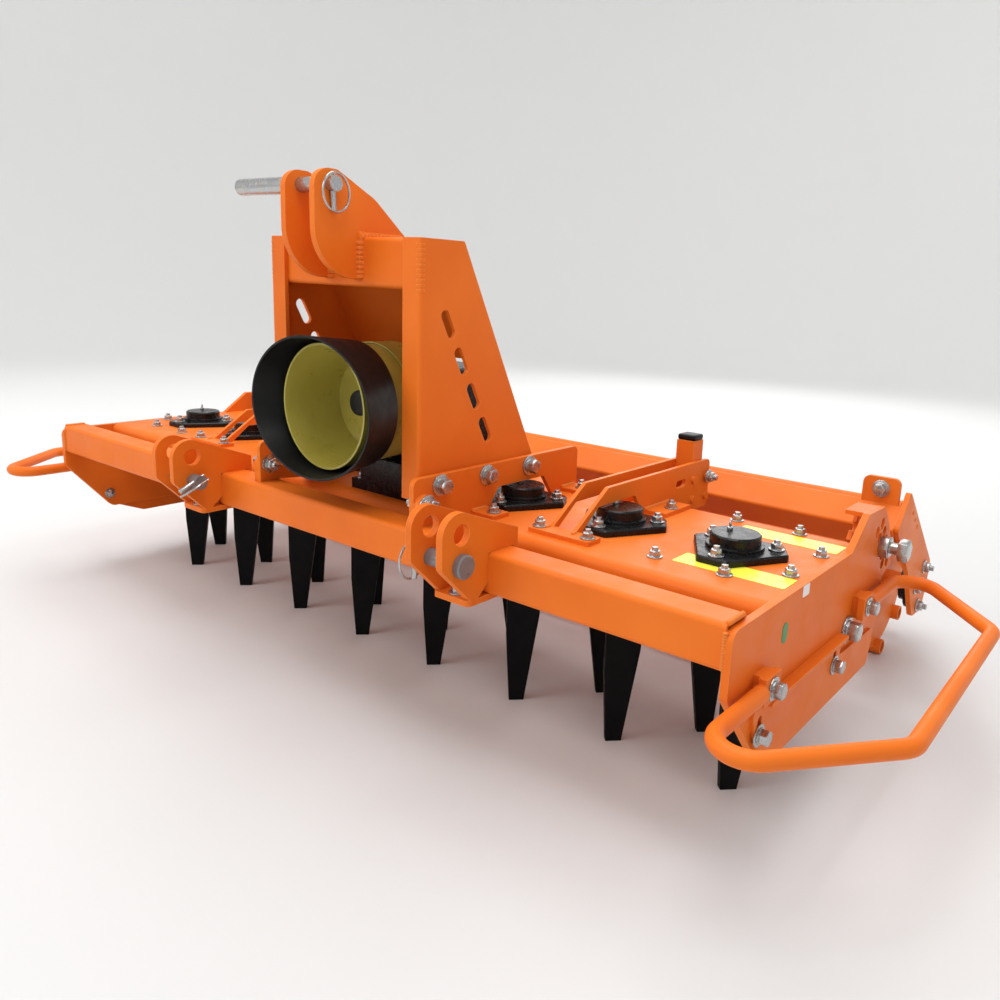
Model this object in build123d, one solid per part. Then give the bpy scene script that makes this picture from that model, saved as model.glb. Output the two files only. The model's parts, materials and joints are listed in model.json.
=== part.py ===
"""Power harrow: tined rotors under a gear trough, three-point headstock and rear cage roller."""
import os
from math import atan2, cos, degrees, pi, radians, sin, tan

from build123d import *

# Frame: x across the machine, y to the rear, z up from the ground, millimetres.

# Driving dimensions
ROTOR_COUNT = 8
ROTOR_PITCH = 225.0
BEAM_CLEARANCE = 310.0
BEAM_DEPTH = 60.0
BEAM_HEIGHT = 68.0
BEAM_WALL = 6.0
SIDE_THICKNESS = 12.0
MAST_WIDTH = 404.0
MAST_HEIGHT = 480.0
HITCH_SPAN = 732.0
LOWER_PIN_RADIUS = 14.0
TOP_PIN_RADIUS = 12.7
ROLLER_RADIUS = 180.0
ROLLER_BARS = 8
TINE_WIDTH = 62.0
TINE_THICKNESS = 14.0
HOOP_TUBE = 12.5
RUNNING_GAP = 0.05
SEAT_GAP = 0.3

# Heights above the ground
BEAM_TOP = BEAM_CLEARANCE + BEAM_HEIGHT
COVER_TOP = BEAM_TOP - 7.0
COVER_SHEET = 8.0
COVER_UNDER = COVER_TOP - COVER_SHEET
TROUGH_BOTTOM = BEAM_CLEARANCE - 40.0
BOSS_BOTTOM = TROUGH_BOTTOM - 15.0
MAST_TOP = COVER_TOP + MAST_HEIGHT
PIVOT_Z = BEAM_CLEARANCE - 81.0
HOOP_Z = BEAM_CLEARANCE - 45.0

# Distances to the rear of the rotor line
BEAM_FRONT_OFFSET = -300.0
HOOP_REACH = 398.5
PIVOT_OFFSET = 165.0
COVER_REAR_OFFSET = 218.0
ROLLER_OFFSET = 650.0

# The origin lies midway between the hoops' front and the roller's rear
ROTOR_Y = (HOOP_REACH + HOOP_TUBE - ROLLER_OFFSET - ROLLER_RADIUS) / 2
BEAM_FRONT = ROTOR_Y + BEAM_FRONT_OFFSET
BEAM_REAR = BEAM_FRONT + BEAM_DEPTH
COVER_FRONT = BEAM_REAR + 58.0
COVER_REAR = ROTOR_Y + COVER_REAR_OFFSET
MAST_FRONT = BEAM_FRONT + 45.0
PIVOT_Y = ROTOR_Y + PIVOT_OFFSET
ROLLER_Y = ROTOR_Y + ROLLER_OFFSET

# Distances across the machine
ROTOR_X = [(i - (ROTOR_COUNT - 1) / 2) * ROTOR_PITCH for i in range(ROTOR_COUNT)]
DRIVEN = ROTOR_COUNT // 2
DRIVE_X = ROTOR_X[DRIVEN]
END_MARGIN = 133.5
SIDE_INNER = ROTOR_X[-1] + END_MARGIN
SIDE_OUTER = SIDE_INNER + SIDE_THICKNESS


def span(low, high):
    """Middle and length of an interval."""
    return (low + high) / 2, high - low


def block(x, y, z):
    """Box between three pairs of limits."""
    (cx, dx), (cy, dy), (cz, dz) = span(*x), span(*y), span(*z)
    return Pos(cx, cy, cz) * Box(dx, dy, dz)


def rod(centre, axis, length, radius):
    """Cylinder centred on a point along an axis."""
    return Plane(origin=centre, z_dir=axis) * Cylinder(radius, length)


def rod_x(x, y, z, radius):
    """Cylinder across the machine between two x limits."""
    middle, length = span(*x)
    return rod((middle, y, z), (1, 0, 0), length, radius)


def rod_z(x, y, z, radius):
    """Upright cylinder between two z limits."""
    middle, length = span(*z)
    return rod((x, y, middle), (0, 0, 1), length, radius)


def outline(corners):
    """Face from rows of two coordinates and a corner radius."""
    face = make_face(Polyline(*[(u, v) for u, v, r in corners], close=True))
    for u, v, r in corners:
        if r:
            face = fillet(face.vertices().sort_by_distance((u, v, 0))[0], r)
    return face


def side_sheet(corners, x):
    """Sheet whose outline is drawn in y and z, between two x limits."""
    return extrude(Plane.YZ.offset(x[0]) * outline(corners), x[1] - x[0], dir=(1, 0, 0))


def front_sheet(corners, y):
    """Sheet whose outline is drawn in x and z, between two y limits."""
    return extrude(Plane.XZ.offset(-y[0]) * outline(corners), y[1] - y[0], dir=(0, 1, 0))


def side_slot(x, y, z, length, width, angle):
    """Obround through a sheet between two x limits; the angle is from y towards z."""
    face = Plane.YZ.offset(x[0]) * Pos(y, z) * Rot(0, 0, angle) * SlotOverall(length, width)
    return extrude(face, x[1] - x[0], dir=(1, 0, 0))


def square_tube(centre, size, walls, corner, x):
    """Hollow box section across the machine, centred in y and z."""
    section = RectangleRounded(*size, corner)
    section -= Rectangle(size[0] - 2 * walls, size[1] - 2 * walls)
    plane = Plane.YZ.offset(x[0]) * Pos(*centre)
    return extrude(plane * section, x[1] - x[0], dir=(1, 0, 0))


def opposite(shape, x=0.0):
    """Mirror image across the plane at x."""
    return mirror(shape, about=Plane.YZ.offset(x))


# Front beam
BEAM_CORNER = 8.0


def front_beam():
    middle_y, depth = span(BEAM_FRONT, BEAM_REAR)
    middle_z, height = span(BEAM_CLEARANCE, BEAM_TOP)
    return square_tube((middle_y, middle_z), (depth, height), BEAM_WALL, BEAM_CORNER,
                       (-SIDE_INNER, SIDE_INNER))


# Gear trough and its folded cover
TROUGH_HALF = 140.0
TROUGH_WALL = 8.0
TROUGH_CHAMFER = 40.0
BOSS_RADIUS = 55.0
SHAFT_RADIUS = 22.5
SHAFT_TOP = TROUGH_BOTTOM + 30.0
COVER_LIP = 36.0
COVER_ROLL = 18.0


def trough_section(inset, top):
    low = TROUGH_BOTTOM + inset
    half = TROUGH_HALF - inset
    chamfer = TROUGH_CHAMFER - inset / 2
    return [
        (ROTOR_Y - half, top, 0),
        (ROTOR_Y - half, low + chamfer, 0),
        (ROTOR_Y - half + chamfer, low, 0),
        (ROTOR_Y + half - chamfer, low, 0),
        (ROTOR_Y + half, low + chamfer, 0),
        (ROTOR_Y + half, top, 0),
    ]


def gear_trough():
    body = side_sheet(trough_section(0, COVER_UNDER), (-SIDE_INNER, SIDE_INNER))
    end = SIDE_INNER - TROUGH_WALL
    body -= side_sheet(trough_section(TROUGH_WALL, COVER_UNDER), (-end, end))
    height = (BOSS_BOTTOM, SHAFT_TOP)
    for x in ROTOR_X:
        body += rod_z(x, ROTOR_Y, height, BOSS_RADIUS)
        body -= rod_z(x, ROTOR_Y, height, SHAFT_RADIUS + RUNNING_GAP)
    return body


def folded_sheet(inset, low):
    roll = COVER_ROLL - inset
    return side_sheet([
        (COVER_FRONT + inset, low, 0),
        (COVER_FRONT + inset, COVER_TOP - inset, roll),
        (COVER_REAR - inset, COVER_TOP - inset, roll),
        (COVER_REAR - inset, low, 0),
    ], (-SIDE_INNER, SIDE_INNER))


def trough_cover():
    low = COVER_TOP - COVER_LIP
    return folded_sheet(0, low) - folded_sheet(COVER_SHEET, low)


# Bearing caps over the rotors that the gearbox doesn't cover
CAP_RADIUS = 42.0
CAP_FLANGE = 12.0
CAP_HEIGHT = 36.0
CAP_STEP = 6.0
CAP_BOLT_ANGLES = (30.0, 150.0, 270.0)
CAP_CORNER = 88.0
CAP_CORNER_ANGLE = 17.0
CAP_CORNER_RADIUS = 9.0
CAP_CHAMFER = 2.5
CAP_CLEARANCE = 98.0
CAP_SLOPE = 30.0
CAP_ROOF = COVER_TOP + CAP_HEIGHT + 5.0


def bearing_cap(x):
    corners = []
    for angle in CAP_BOLT_ANGLES:
        for side in (-1, 1):
            turn = radians(angle + side * CAP_CORNER_ANGLE)
            corners.append((x + CAP_CORNER * cos(turn), ROTOR_Y + CAP_CORNER * sin(turn), CAP_CORNER_RADIUS))
    flange = extrude(Plane.XY.offset(COVER_TOP) * outline(corners), CAP_FLANGE, dir=(0, 0, 1))
    flange = chamfer(flange.faces().sort_by(Axis.Z)[-1].edges(), CAP_CHAMFER)
    step = rod_z(x, ROTOR_Y, (COVER_TOP, COVER_TOP + CAP_FLANGE + CAP_STEP), CAP_RADIUS + CAP_STEP)
    hub = rod_z(x, ROTOR_Y, (COVER_TOP, COVER_TOP + CAP_HEIGHT), CAP_RADIUS)
    hub = chamfer(hub.faces().sort_by(Axis.Z)[-1].edges(), CAP_CHAMFER)
    return flange + step + hub


def bearing_caps():
    return [bearing_cap(x) for i, x in enumerate(ROTOR_X) if i != DRIVEN]


# Rotors, each a carrier with two knife tines
ROTOR_GAP = 6.0
CARRIER_TOP = BOSS_BOTTOM - ROTOR_GAP
CARRIER_DEPTH = 26.0
CARRIER_BOTTOM = CARRIER_TOP - CARRIER_DEPTH
CARRIER_HUB = 46.0
TINE_OFFSET = 90.0
TINE_ANGLE = -45.0
TINE_SOCKET = 7.0
TINE_TIP = 28.0
TINE_SWEEP = 8.0
TINE_SHOULDER = 8.0
TINE_FRONT_DROP = 46.0
TINE_BACK_DROP = 92.0
TINE_CURVE = 120.0


def tine():
    """Knife tine outside the carrier's end, drawn for a rotor at x = 0 that points along x."""
    half = TINE_WIDTH / 2
    blade = [
        (-half, CARRIER_TOP, TINE_SHOULDER),
        (half, CARRIER_TOP, TINE_SHOULDER),
        (half, CARRIER_BOTTOM - TINE_FRONT_DROP, TINE_CURVE),
        (TINE_TIP / 2 - TINE_SWEEP, 0, 0),
        (-TINE_TIP / 2 - TINE_SWEEP, 0, 0),
        (-half, CARRIER_BOTTOM - TINE_BACK_DROP, TINE_CURVE),
    ]
    low = TINE_OFFSET - TINE_THICKNESS / 2
    return side_sheet(blade, (low, low + TINE_THICKNESS))


def rotor(x):
    reach = TINE_OFFSET - TINE_THICKNESS / 2
    body = rod_z(0, 0, (CARRIER_BOTTOM, CARRIER_TOP), CARRIER_HUB)
    half = TINE_WIDTH / 2 - TINE_SOCKET
    body += block((-reach, reach), (-half, half), (CARRIER_BOTTOM, CARRIER_TOP))
    body += rod_z(0, 0, (CARRIER_TOP, SHAFT_TOP), SHAFT_RADIUS)
    blade = tine()
    body += blade
    body += Rot(0, 0, 180) * blade
    return Pos(x, ROTOR_Y, 0) * Rot(0, 0, TINE_ANGLE) * body


# Side plates with the depth-hole fan
FAN_RADIUS = 240.0
FAN_HIGH = 54.0
FAN_LOW = 15.0
RING_STEP = 25.0
OUTER_RING = FAN_RADIUS - RING_STEP
INNER_RING = OUTER_RING - RING_STEP
HOLE_RADIUS = 11.0
HOLE_STEP = 7.0
HOLE_COUNT = 5
INNER_FIRST = FAN_HIGH - 2.0
OUTER_FIRST = INNER_FIRST - HOLE_STEP / 2
DEPTH_ANGLE = INNER_FIRST - 2 * HOLE_STEP
DEPTH_PIN_RADIUS = HOLE_RADIUS - SEAT_GAP
DEPTH_PIN_OUT = 34.0
DEPTH_PIN_HEAD = 12.0
DEPTH_PIN_IN = 8.0
PIVOT_RADIUS = 15.0
PIVOT_IN = 6.0
SIDE_BOTTOM = BEAM_CLEARANCE - 160.0
SIDE_FRONT = BEAM_FRONT - 3.0
SIDE_CHIN = BEAM_CLEARANCE - 35.0
SIDE_TOE = ROTOR_Y - 195.0
SIDE_STEP = PIVOT_Y - 18.0
SIDE_CREST = (PIVOT_Y + 56.0, COVER_TOP + 53.0)
SIDE_TAIL = (PIVOT_Y + 188.0, PIVOT_Z + 22.0)
SIDE_HEEL = PIVOT_Y + 165.0
ARM_THICKNESS = 12.0
ARM_GAP = 8.0
ARM_OUTER = SIDE_INNER - ARM_GAP
ARM_INNER = ARM_OUTER - ARM_THICKNESS
CHEEK_OUTER = ARM_INNER - ARM_GAP
CHEEK_THICKNESS = 8.0
CHEEK_INNER = CHEEK_OUTER - CHEEK_THICKNESS
CHEEK_INSIDE = INNER_RING - 28.0
BRIDGE_LENGTH = 70.0
BRIDGE_SHEET = 8.0


def about_pivot(radius, angle):
    turn = radians(angle)
    return PIVOT_Y + radius * cos(turn), PIVOT_Z + radius * sin(turn)


def fan(low, x):
    """Sector about the roller pivot from an angle to the fan's upper edge."""
    reach = 2 * FAN_RADIUS
    wedge = [(PIVOT_Y, PIVOT_Z, 0), (*about_pivot(reach, low), 0), (*about_pivot(reach, FAN_HIGH), 0)]
    return rod_x(x, PIVOT_Y, PIVOT_Z, FAN_RADIUS) & side_sheet(wedge, x)


def depth_hole_centres():
    rings = ((INNER_RING, INNER_FIRST), (OUTER_RING, OUTER_FIRST))
    return [about_pivot(radius, first - HOLE_STEP * i) for radius, first in rings for i in range(HOLE_COUNT)]


def side_plate():
    x = (SIDE_INNER, SIDE_OUTER)
    top_y, top_z = about_pivot(FAN_RADIUS - 2, FAN_HIGH)
    body = side_sheet([
        (SIDE_FRONT, COVER_TOP, 18),
        (SIDE_STEP, COVER_TOP, 0),
        (*SIDE_CREST, 0),
        (top_y, top_z, 0),
        (*SIDE_TAIL, 0),
        (SIDE_HEEL, SIDE_BOTTOM, 15),
        (SIDE_TOE, SIDE_BOTTOM, 20),
        (SIDE_FRONT, SIDE_CHIN, 12),
    ], x)
    body += fan(FAN_LOW, x)
    cheek_x = (CHEEK_INNER, CHEEK_OUTER)
    cheek = fan(FAN_LOW + 3, cheek_x) - rod_x(cheek_x, PIVOT_Y, PIVOT_Z, CHEEK_INSIDE)
    for y, z in depth_hole_centres():
        body -= rod_x(x, y, z, HOLE_RADIUS)
        cheek -= rod_x(cheek_x, y, z, HOLE_RADIUS)
    bridge = block((CHEEK_INNER, SIDE_INNER), (top_y - BRIDGE_LENGTH, top_y), (top_z - BRIDGE_SHEET, top_z))
    body += cheek + bridge
    return body + rod_x((ARM_INNER - PIVOT_IN, SIDE_OUTER), PIVOT_Y, PIVOT_Z, PIVOT_RADIUS)


def depth_pin():
    y, z = about_pivot(INNER_RING, DEPTH_ANGLE)
    head = SIDE_OUTER + DEPTH_PIN_OUT
    shank = rod_x((CHEEK_INNER - DEPTH_PIN_IN, head), y, z, DEPTH_PIN_RADIUS)
    return shank + rod_x((head, head + DEPTH_PIN_HEAD), y, z, DEPTH_PIN_RADIUS + 7)


# Side deflectors, adjustable for height on slots
DEFLECTOR_SHEET = 6.0
DEFLECTOR_TOP = BEAM_CLEARANCE - 76.0
DEFLECTOR_LOW = BEAM_CLEARANCE - 190.0
DEFLECTOR_LIP = 18.0
DEFLECTOR_FRONT = ROTOR_Y - 228.0
DEFLECTOR_TOE = ROTOR_Y - 106.0
DEFLECTOR_HEEL = (PIVOT_Y + 150.0, PIVOT_Z - 40.0)
LIP_END = PIVOT_Y - 36.0
LIP_START = DEFLECTOR_FRONT + 40.0
DEFLECTOR_SLOTS = (ROTOR_Y - 199.5, PIVOT_Y - 62.0)
DEFLECTOR_SLOT_Z = BEAM_CLEARANCE - 116.0
SLOT_LENGTH = 44.0
SLOT_WIDTH = 14.0


def side_deflector():
    x = (SIDE_OUTER, SIDE_OUTER + DEFLECTOR_SHEET)
    body = side_sheet([
        (DEFLECTOR_FRONT, DEFLECTOR_TOP, 14),
        (LIP_END, DEFLECTOR_TOP, 0),
        (LIP_END, DEFLECTOR_HEEL[1] + 6, 0),
        (*DEFLECTOR_HEEL, 12),
        (DEFLECTOR_HEEL[0] - 15, DEFLECTOR_LOW, 15),
        (DEFLECTOR_TOE, DEFLECTOR_LOW, 20),
        (DEFLECTOR_FRONT + 30, DEFLECTOR_TOP - 76, 15),
    ], x)
    for y in DEFLECTOR_SLOTS:
        body -= side_slot(x, y, DEFLECTOR_SLOT_Z, SLOT_LENGTH, SLOT_WIDTH, 90)
    lip = block((SIDE_OUTER, SIDE_OUTER + DEFLECTOR_LIP), (LIP_START, LIP_END),
                (DEFLECTOR_TOP - DEFLECTOR_SHEET, DEFLECTOR_TOP))
    return body + lip


# Guard hoops
HOOP_X = SIDE_OUTER + 16.0
HOOP_WIDTH = 199.0
HOOP_BEND = 42.0
HOOP_SLANT = radians(50.0)
HOOP_MOUNT = 205.0
MOUNT_HALF = 24.0
MOUNT_RISE = 20.0
TONGUE_SHEET = 12.0
SPACER_INSET = 6.0


def guard_hoop():
    outer_x = HOOP_X + HOOP_WIDTH
    turn = pi / 2 + HOOP_SLANT
    corner = HOOP_REACH + HOOP_BEND * (tan(turn / 2) - 1)
    outer_corner = corner - HOOP_WIDTH * tan(HOOP_SLANT)
    start = HOOP_MOUNT + MOUNT_HALF
    half = [(HOOP_X, start), (HOOP_X, corner), (outer_x, outer_corner)]
    route = [(x, ROTOR_Y - y, HOOP_Z) for x, y in half]
    route += [(x, ROTOR_Y + y, HOOP_Z) for x, y in reversed(half)]
    path = FilletPolyline(*route, radius=HOOP_BEND)
    body = sweep(Plane(origin=route[0], z_dir=(0, -1, 0)) * Circle(HOOP_TUBE), path=path)
    rise = (HOOP_Z - MOUNT_RISE, HOOP_Z + MOUNT_RISE)
    tongue_x = (HOOP_X - TONGUE_SHEET / 2, HOOP_X + TONGUE_SHEET / 2)
    for side in (-1, 1):
        y = ROTOR_Y + side * HOOP_MOUNT
        body += block(tongue_x, (y - MOUNT_HALF, y + MOUNT_HALF), rise)
        inset = MOUNT_HALF - SPACER_INSET
        body += block((SIDE_OUTER, tongue_x[0]), (y - inset, y + inset), rise)
    return body


# Lower hitch brackets: two ears notched over the beam and a strap that closes round it
HITCH_EAR = 12.0
HITCH_GAP = 53.0
HITCH_REACH = 61.0
HITCH_PIN_Z = BEAM_CLEARANCE + 62.0
HITCH_SPARE_Z = HITCH_PIN_Z + 48.0
HITCH_SPARE_RADIUS = 17.0
HITCH_PIN_Y = BEAM_FRONT - HITCH_REACH
HITCH_FRONT = HITCH_PIN_Y - 41.0
HITCH_TOP = HITCH_SPARE_Z + 51.0
HITCH_ROUND = 36.0
HITCH_X = DRIVE_X + HITCH_SPAN / 2
HITCH_REAR_RISE = 28.0
HITCH_TIP = (BEAM_FRONT - 31.0, BEAM_CLEARANCE - 8.0)
HITCH_THROAT = BEAM_CLEARANCE + 20.0
CLAMP_PLATE = 10.0
CLAMP_TOE = 44.0
HITCH_PIN_INNER = 28.0
HITCH_HEAD = 12.0


def hitch_ear(x):
    body = side_sheet([
        (HITCH_FRONT, HITCH_PIN_Z, 14),
        (HITCH_FRONT, HITCH_TOP, HITCH_ROUND),
        (BEAM_REAR + CLAMP_PLATE, BEAM_TOP + HITCH_REAR_RISE, 0),
        (BEAM_REAR, BEAM_TOP, 0),
        (BEAM_FRONT, BEAM_TOP, 0),
        (BEAM_FRONT, HITCH_THROAT, 0),
        (*HITCH_TIP, 4),
    ], x)
    body -= rod_x(x, HITCH_PIN_Y, HITCH_PIN_Z, LOWER_PIN_RADIUS + RUNNING_GAP)
    return body - rod_x(x, HITCH_PIN_Y, HITCH_SPARE_Z, HITCH_SPARE_RADIUS)


def hitch_bracket():
    half_gap = HITCH_GAP / 2
    outer = half_gap + HITCH_EAR
    x = (HITCH_X - outer, HITCH_X + outer)
    strap_low = BEAM_CLEARANCE - CLAMP_PLATE
    strap = block(x, (BEAM_FRONT - CLAMP_TOE, BEAM_REAR + CLAMP_PLATE), (strap_low, BEAM_CLEARANCE))
    toe = strap.edges().filter_by(Axis.Z).group_by(Axis.Y)[0]
    body = fillet(toe, CLAMP_PLATE)
    body += block(x, (BEAM_REAR, BEAM_REAR + CLAMP_PLATE), (strap_low, BEAM_TOP + HITCH_REAR_RISE))
    body += block((HITCH_X - half_gap, HITCH_X + half_gap), (BEAM_FRONT - CLAMP_PLATE, BEAM_FRONT),
                  (strap_low, BEAM_TOP))
    for x_low in (HITCH_X - outer, HITCH_X + half_gap):
        body += hitch_ear((x_low, x_low + HITCH_EAR))
    return body


def hitch_pin():
    half = HITCH_GAP / 2 + HITCH_EAR
    shank = rod_x((HITCH_X - half - HITCH_PIN_INNER, HITCH_X + half), HITCH_PIN_Y, HITCH_PIN_Z, LOWER_PIN_RADIUS)
    head_x = (HITCH_X + half, HITCH_X + half + HITCH_HEAD)
    head = rod_x(head_x, HITCH_PIN_Y, HITCH_PIN_Z, LOWER_PIN_RADIUS + 5)
    head = chamfer(head.faces().sort_by(Axis.X)[-1].edges(), 2)
    return shank + head


# Headstock mast
MAST_SHEET = 8.0
MAST_FLANGE = 42.0
MAST_TOP_DEPTH = 102.0
MAST_FOOT_DEPTH = 330.0
MAST_FOOT = CAP_ROOF
MAST_X = DRIVE_X + MAST_WIDTH / 2
MAST_SLOPE = (MAST_FOOT_DEPTH - MAST_TOP_DEPTH) / (MAST_TOP - MAST_FOOT)
MAST_SLOTS = 4
MAST_SLOT_TOP = MAST_TOP - 139.0
MAST_SLOT_STEP = 64.0
MAST_SLOT_INSET = 108.0
MAST_SLOT_LENGTH = 52.0
MAST_SLOT_WIDTH = 20.0


def mast_rear(z):
    """Rear edge of the uprights at a height."""
    return MAST_FRONT + MAST_TOP_DEPTH + MAST_SLOPE * (MAST_TOP - z)


def mast_upright():
    x = (MAST_X - MAST_SHEET, MAST_X)
    cheek = side_sheet([
        (MAST_FRONT, MAST_FOOT, 0),
        (MAST_FRONT, MAST_TOP, 0),
        (mast_rear(MAST_TOP), MAST_TOP, 6),
        (mast_rear(MAST_FOOT), MAST_FOOT, 0),
    ], x)
    lean = 90 + degrees(atan2(MAST_SLOPE, 1))
    for i in range(MAST_SLOTS):
        z = MAST_SLOT_TOP - MAST_SLOT_STEP * i
        cheek -= side_slot(x, mast_rear(z) - MAST_SLOT_INSET, z, MAST_SLOT_LENGTH, MAST_SLOT_WIDTH, lean)
    flange = block((MAST_X - MAST_FLANGE, MAST_X), (MAST_FRONT, MAST_FRONT + MAST_SHEET),
                   (MAST_FOOT, MAST_TOP))
    body = cheek + flange
    bend = body.edges().filter_by(Axis.Z).sort_by_distance((MAST_X, MAST_FRONT, MAST_TOP))[0]
    return fillet(bend, MAST_SHEET - 1)


CROSSBAR_HEIGHT = 84.0
CROSSBAR_DEPTH = 80.0
CROSSBAR_WALL = 6.0
CROSSBAR_FRONT = MAST_FRONT + MAST_SHEET
MAST_INSIDE = (2 * DRIVE_X - MAST_X + MAST_SHEET, MAST_X - MAST_SHEET)


def mast_crossbar():
    centre = (CROSSBAR_FRONT + CROSSBAR_DEPTH / 2, MAST_TOP - CROSSBAR_HEIGHT / 2)
    return square_tube(centre, (CROSSBAR_DEPTH, CROSSBAR_HEIGHT), CROSSBAR_WALL, BEAM_CORNER, MAST_INSIDE)


BACK_TOP = MAST_TOP - 8.0
BACK_LOW = MAST_TOP - 211.0
BACK_DEPTH = 9.0


def mast_back():
    """Sloping plate between the uprights along their rear edges."""
    return side_sheet([
        (mast_rear(BACK_TOP) - BACK_DEPTH, BACK_TOP, 0),
        (mast_rear(BACK_TOP), BACK_TOP, 0),
        (mast_rear(BACK_LOW), BACK_LOW, 0),
        (mast_rear(BACK_LOW) - BACK_DEPTH, BACK_LOW, 0),
    ], MAST_INSIDE)


# Top-link ears and pin
EAR_SHEET = 12.0
EAR_HALF = 38.75
TOP_PIN_Y = MAST_FRONT - 53.0
TOP_PIN_Z = MAST_TOP + 80.0
EAR_FRONT = TOP_PIN_Y - 33.0
EAR_TOP = TOP_PIN_Z + 24.0
EAR_DROP = 71.0
EAR_BELLY = 82.0
EAR_CROWN = 30.0
EAR_SHOULDER = (TOP_PIN_Y + 95.0, TOP_PIN_Z - 16.0)
EAR_REAR = CROSSBAR_FRONT + 104.0
TOP_PIN_LEFT = 165.0
TOP_PIN_RIGHT = 16.0
TOP_PIN_HANDLE = 2.0


def top_link_ear(x_middle):
    x = (x_middle - EAR_SHEET / 2, x_middle + EAR_SHEET / 2)
    body = side_sheet([
        (EAR_FRONT, MAST_TOP - EAR_DROP, EAR_BELLY),
        (EAR_FRONT, EAR_TOP, EAR_CROWN),
        (TOP_PIN_Y + 15, EAR_TOP, 20),
        (*EAR_SHOULDER, 60),
        (EAR_REAR, MAST_TOP + 6, 0),
        (EAR_REAR, MAST_TOP, 0),
        (CROSSBAR_FRONT, MAST_TOP, 0),
        (CROSSBAR_FRONT, MAST_TOP - EAR_DROP, 0),
    ], x)
    return body - rod_x(x, TOP_PIN_Y, TOP_PIN_Z, TOP_PIN_RADIUS + RUNNING_GAP)


def top_link_ears():
    return [top_link_ear(DRIVE_X + side * EAR_HALF) for side in (-1, 1)]


def top_link_pin():
    left = DRIVE_X - EAR_HALF - EAR_SHEET / 2
    right = DRIVE_X + EAR_HALF + EAR_SHEET / 2
    shank = rod_x((left, right + TOP_PIN_RIGHT), TOP_PIN_Y, TOP_PIN_Z, TOP_PIN_RADIUS)
    handle = rod_x((left - TOP_PIN_LEFT, left), TOP_PIN_Y, TOP_PIN_Z, TOP_PIN_RADIUS + TOP_PIN_HANDLE)
    handle = chamfer(handle.faces().sort_by(Axis.X)[0].edges(), 4)
    return shank + handle


# Mast base plates straddling the next bearing caps, bolted to lugs on the beam
PACKING = 10.0
BASE_SHEET = 10.0
BASE_X = MAST_X + PACKING
BASE_OUTER = BASE_X + BASE_SHEET
BASE_TOP = BEAM_TOP + 81.0
BASE_FRONT = BEAM_FRONT + 14.0
BASE_REAR = ROTOR_Y + 181.0
FOOT_WIDTH = 52.0
FOOT_SHEET = 8.0
BASE_FOOT_LENGTHS = ((-142.0, -CAP_CLEARANCE), (128.0, 178.0))
PACKING_LENGTH = 280.0
LUG_TOP = BEAM_TOP + 52.0
LUG_DEPTH = 44.0


def mast_base():
    body = side_sheet([
        (BASE_FRONT, BEAM_TOP, 0),
        (BASE_FRONT, BASE_TOP, 14),
        (BASE_REAR, BASE_TOP, 14),
        (BASE_REAR, COVER_TOP, 0),
        (ROTOR_Y + CAP_CLEARANCE, COVER_TOP, 0),
        (ROTOR_Y + CAP_CLEARANCE - CAP_SLOPE, CAP_ROOF, 8),
        (ROTOR_Y - CAP_CLEARANCE + CAP_SLOPE, CAP_ROOF, 8),
        (ROTOR_Y - CAP_CLEARANCE, COVER_TOP, 0),
        (COVER_FRONT + COVER_ROLL, COVER_TOP, 0),
        (BEAM_REAR, BEAM_TOP, 0),
    ], (BASE_X, BASE_OUTER))
    body += block((MAST_X, BASE_X), (MAST_FRONT + 4, MAST_FRONT + PACKING_LENGTH), (MAST_FOOT + 8, BASE_TOP - 6))
    body += side_sheet([
        (BASE_FRONT, BEAM_TOP, 0),
        (BASE_FRONT, LUG_TOP, 20),
        (BASE_FRONT + LUG_DEPTH, LUG_TOP, 20),
        (BASE_FRONT + LUG_DEPTH, BEAM_TOP, 0),
    ], (BASE_OUTER, BASE_OUTER + BASE_SHEET))
    for low, high in BASE_FOOT_LENGTHS:
        body += block((BASE_OUTER, BASE_OUTER + FOOT_WIDTH), (ROTOR_Y + low, ROTOR_Y + high),
                      (COVER_TOP, COVER_TOP + FOOT_SHEET))
    return body


# Gearbox, input shaft and its guard
INPUT_Z = BEAM_TOP + 177.0
GEARBOX_HALF = 95.0
GEARBOX_WALL = 14.0
GEARBOX_TOP = INPUT_Z + 66.0
GEARBOX_LOW = COVER_TOP + 60.0
GEARBOX_FRONT = ROTOR_Y - 100.0
GEARBOX_REAR = ROTOR_Y + 65.0
GEARBOX_ROUND = 24.0
PEDESTAL_HALF = 58.0
PEDESTAL_FRONT = ROTOR_Y - 163.0
PEDESTAL_REAR = ROTOR_Y + 110.0
PEDESTAL_FLANGE = 85.0
PEDESTAL_SHEET = 20.0
PEDESTAL_OVERLAP = 10.0
FLANGE_RADIUS = 102.0
FLANGE_DEPTH = 8.0
INPUT_RADIUS = 17.5
SPLINE_COUNT = 6
SPLINE_WIDTH = 9.0
SPLINE_DEPTH = 3.0
INPUT_BOSS = 46.0
BOSS_LENGTH = 22.0
BORE_DEPTH = 30.0
INPUT_TIP = GEARBOX_FRONT - 115.0


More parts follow.
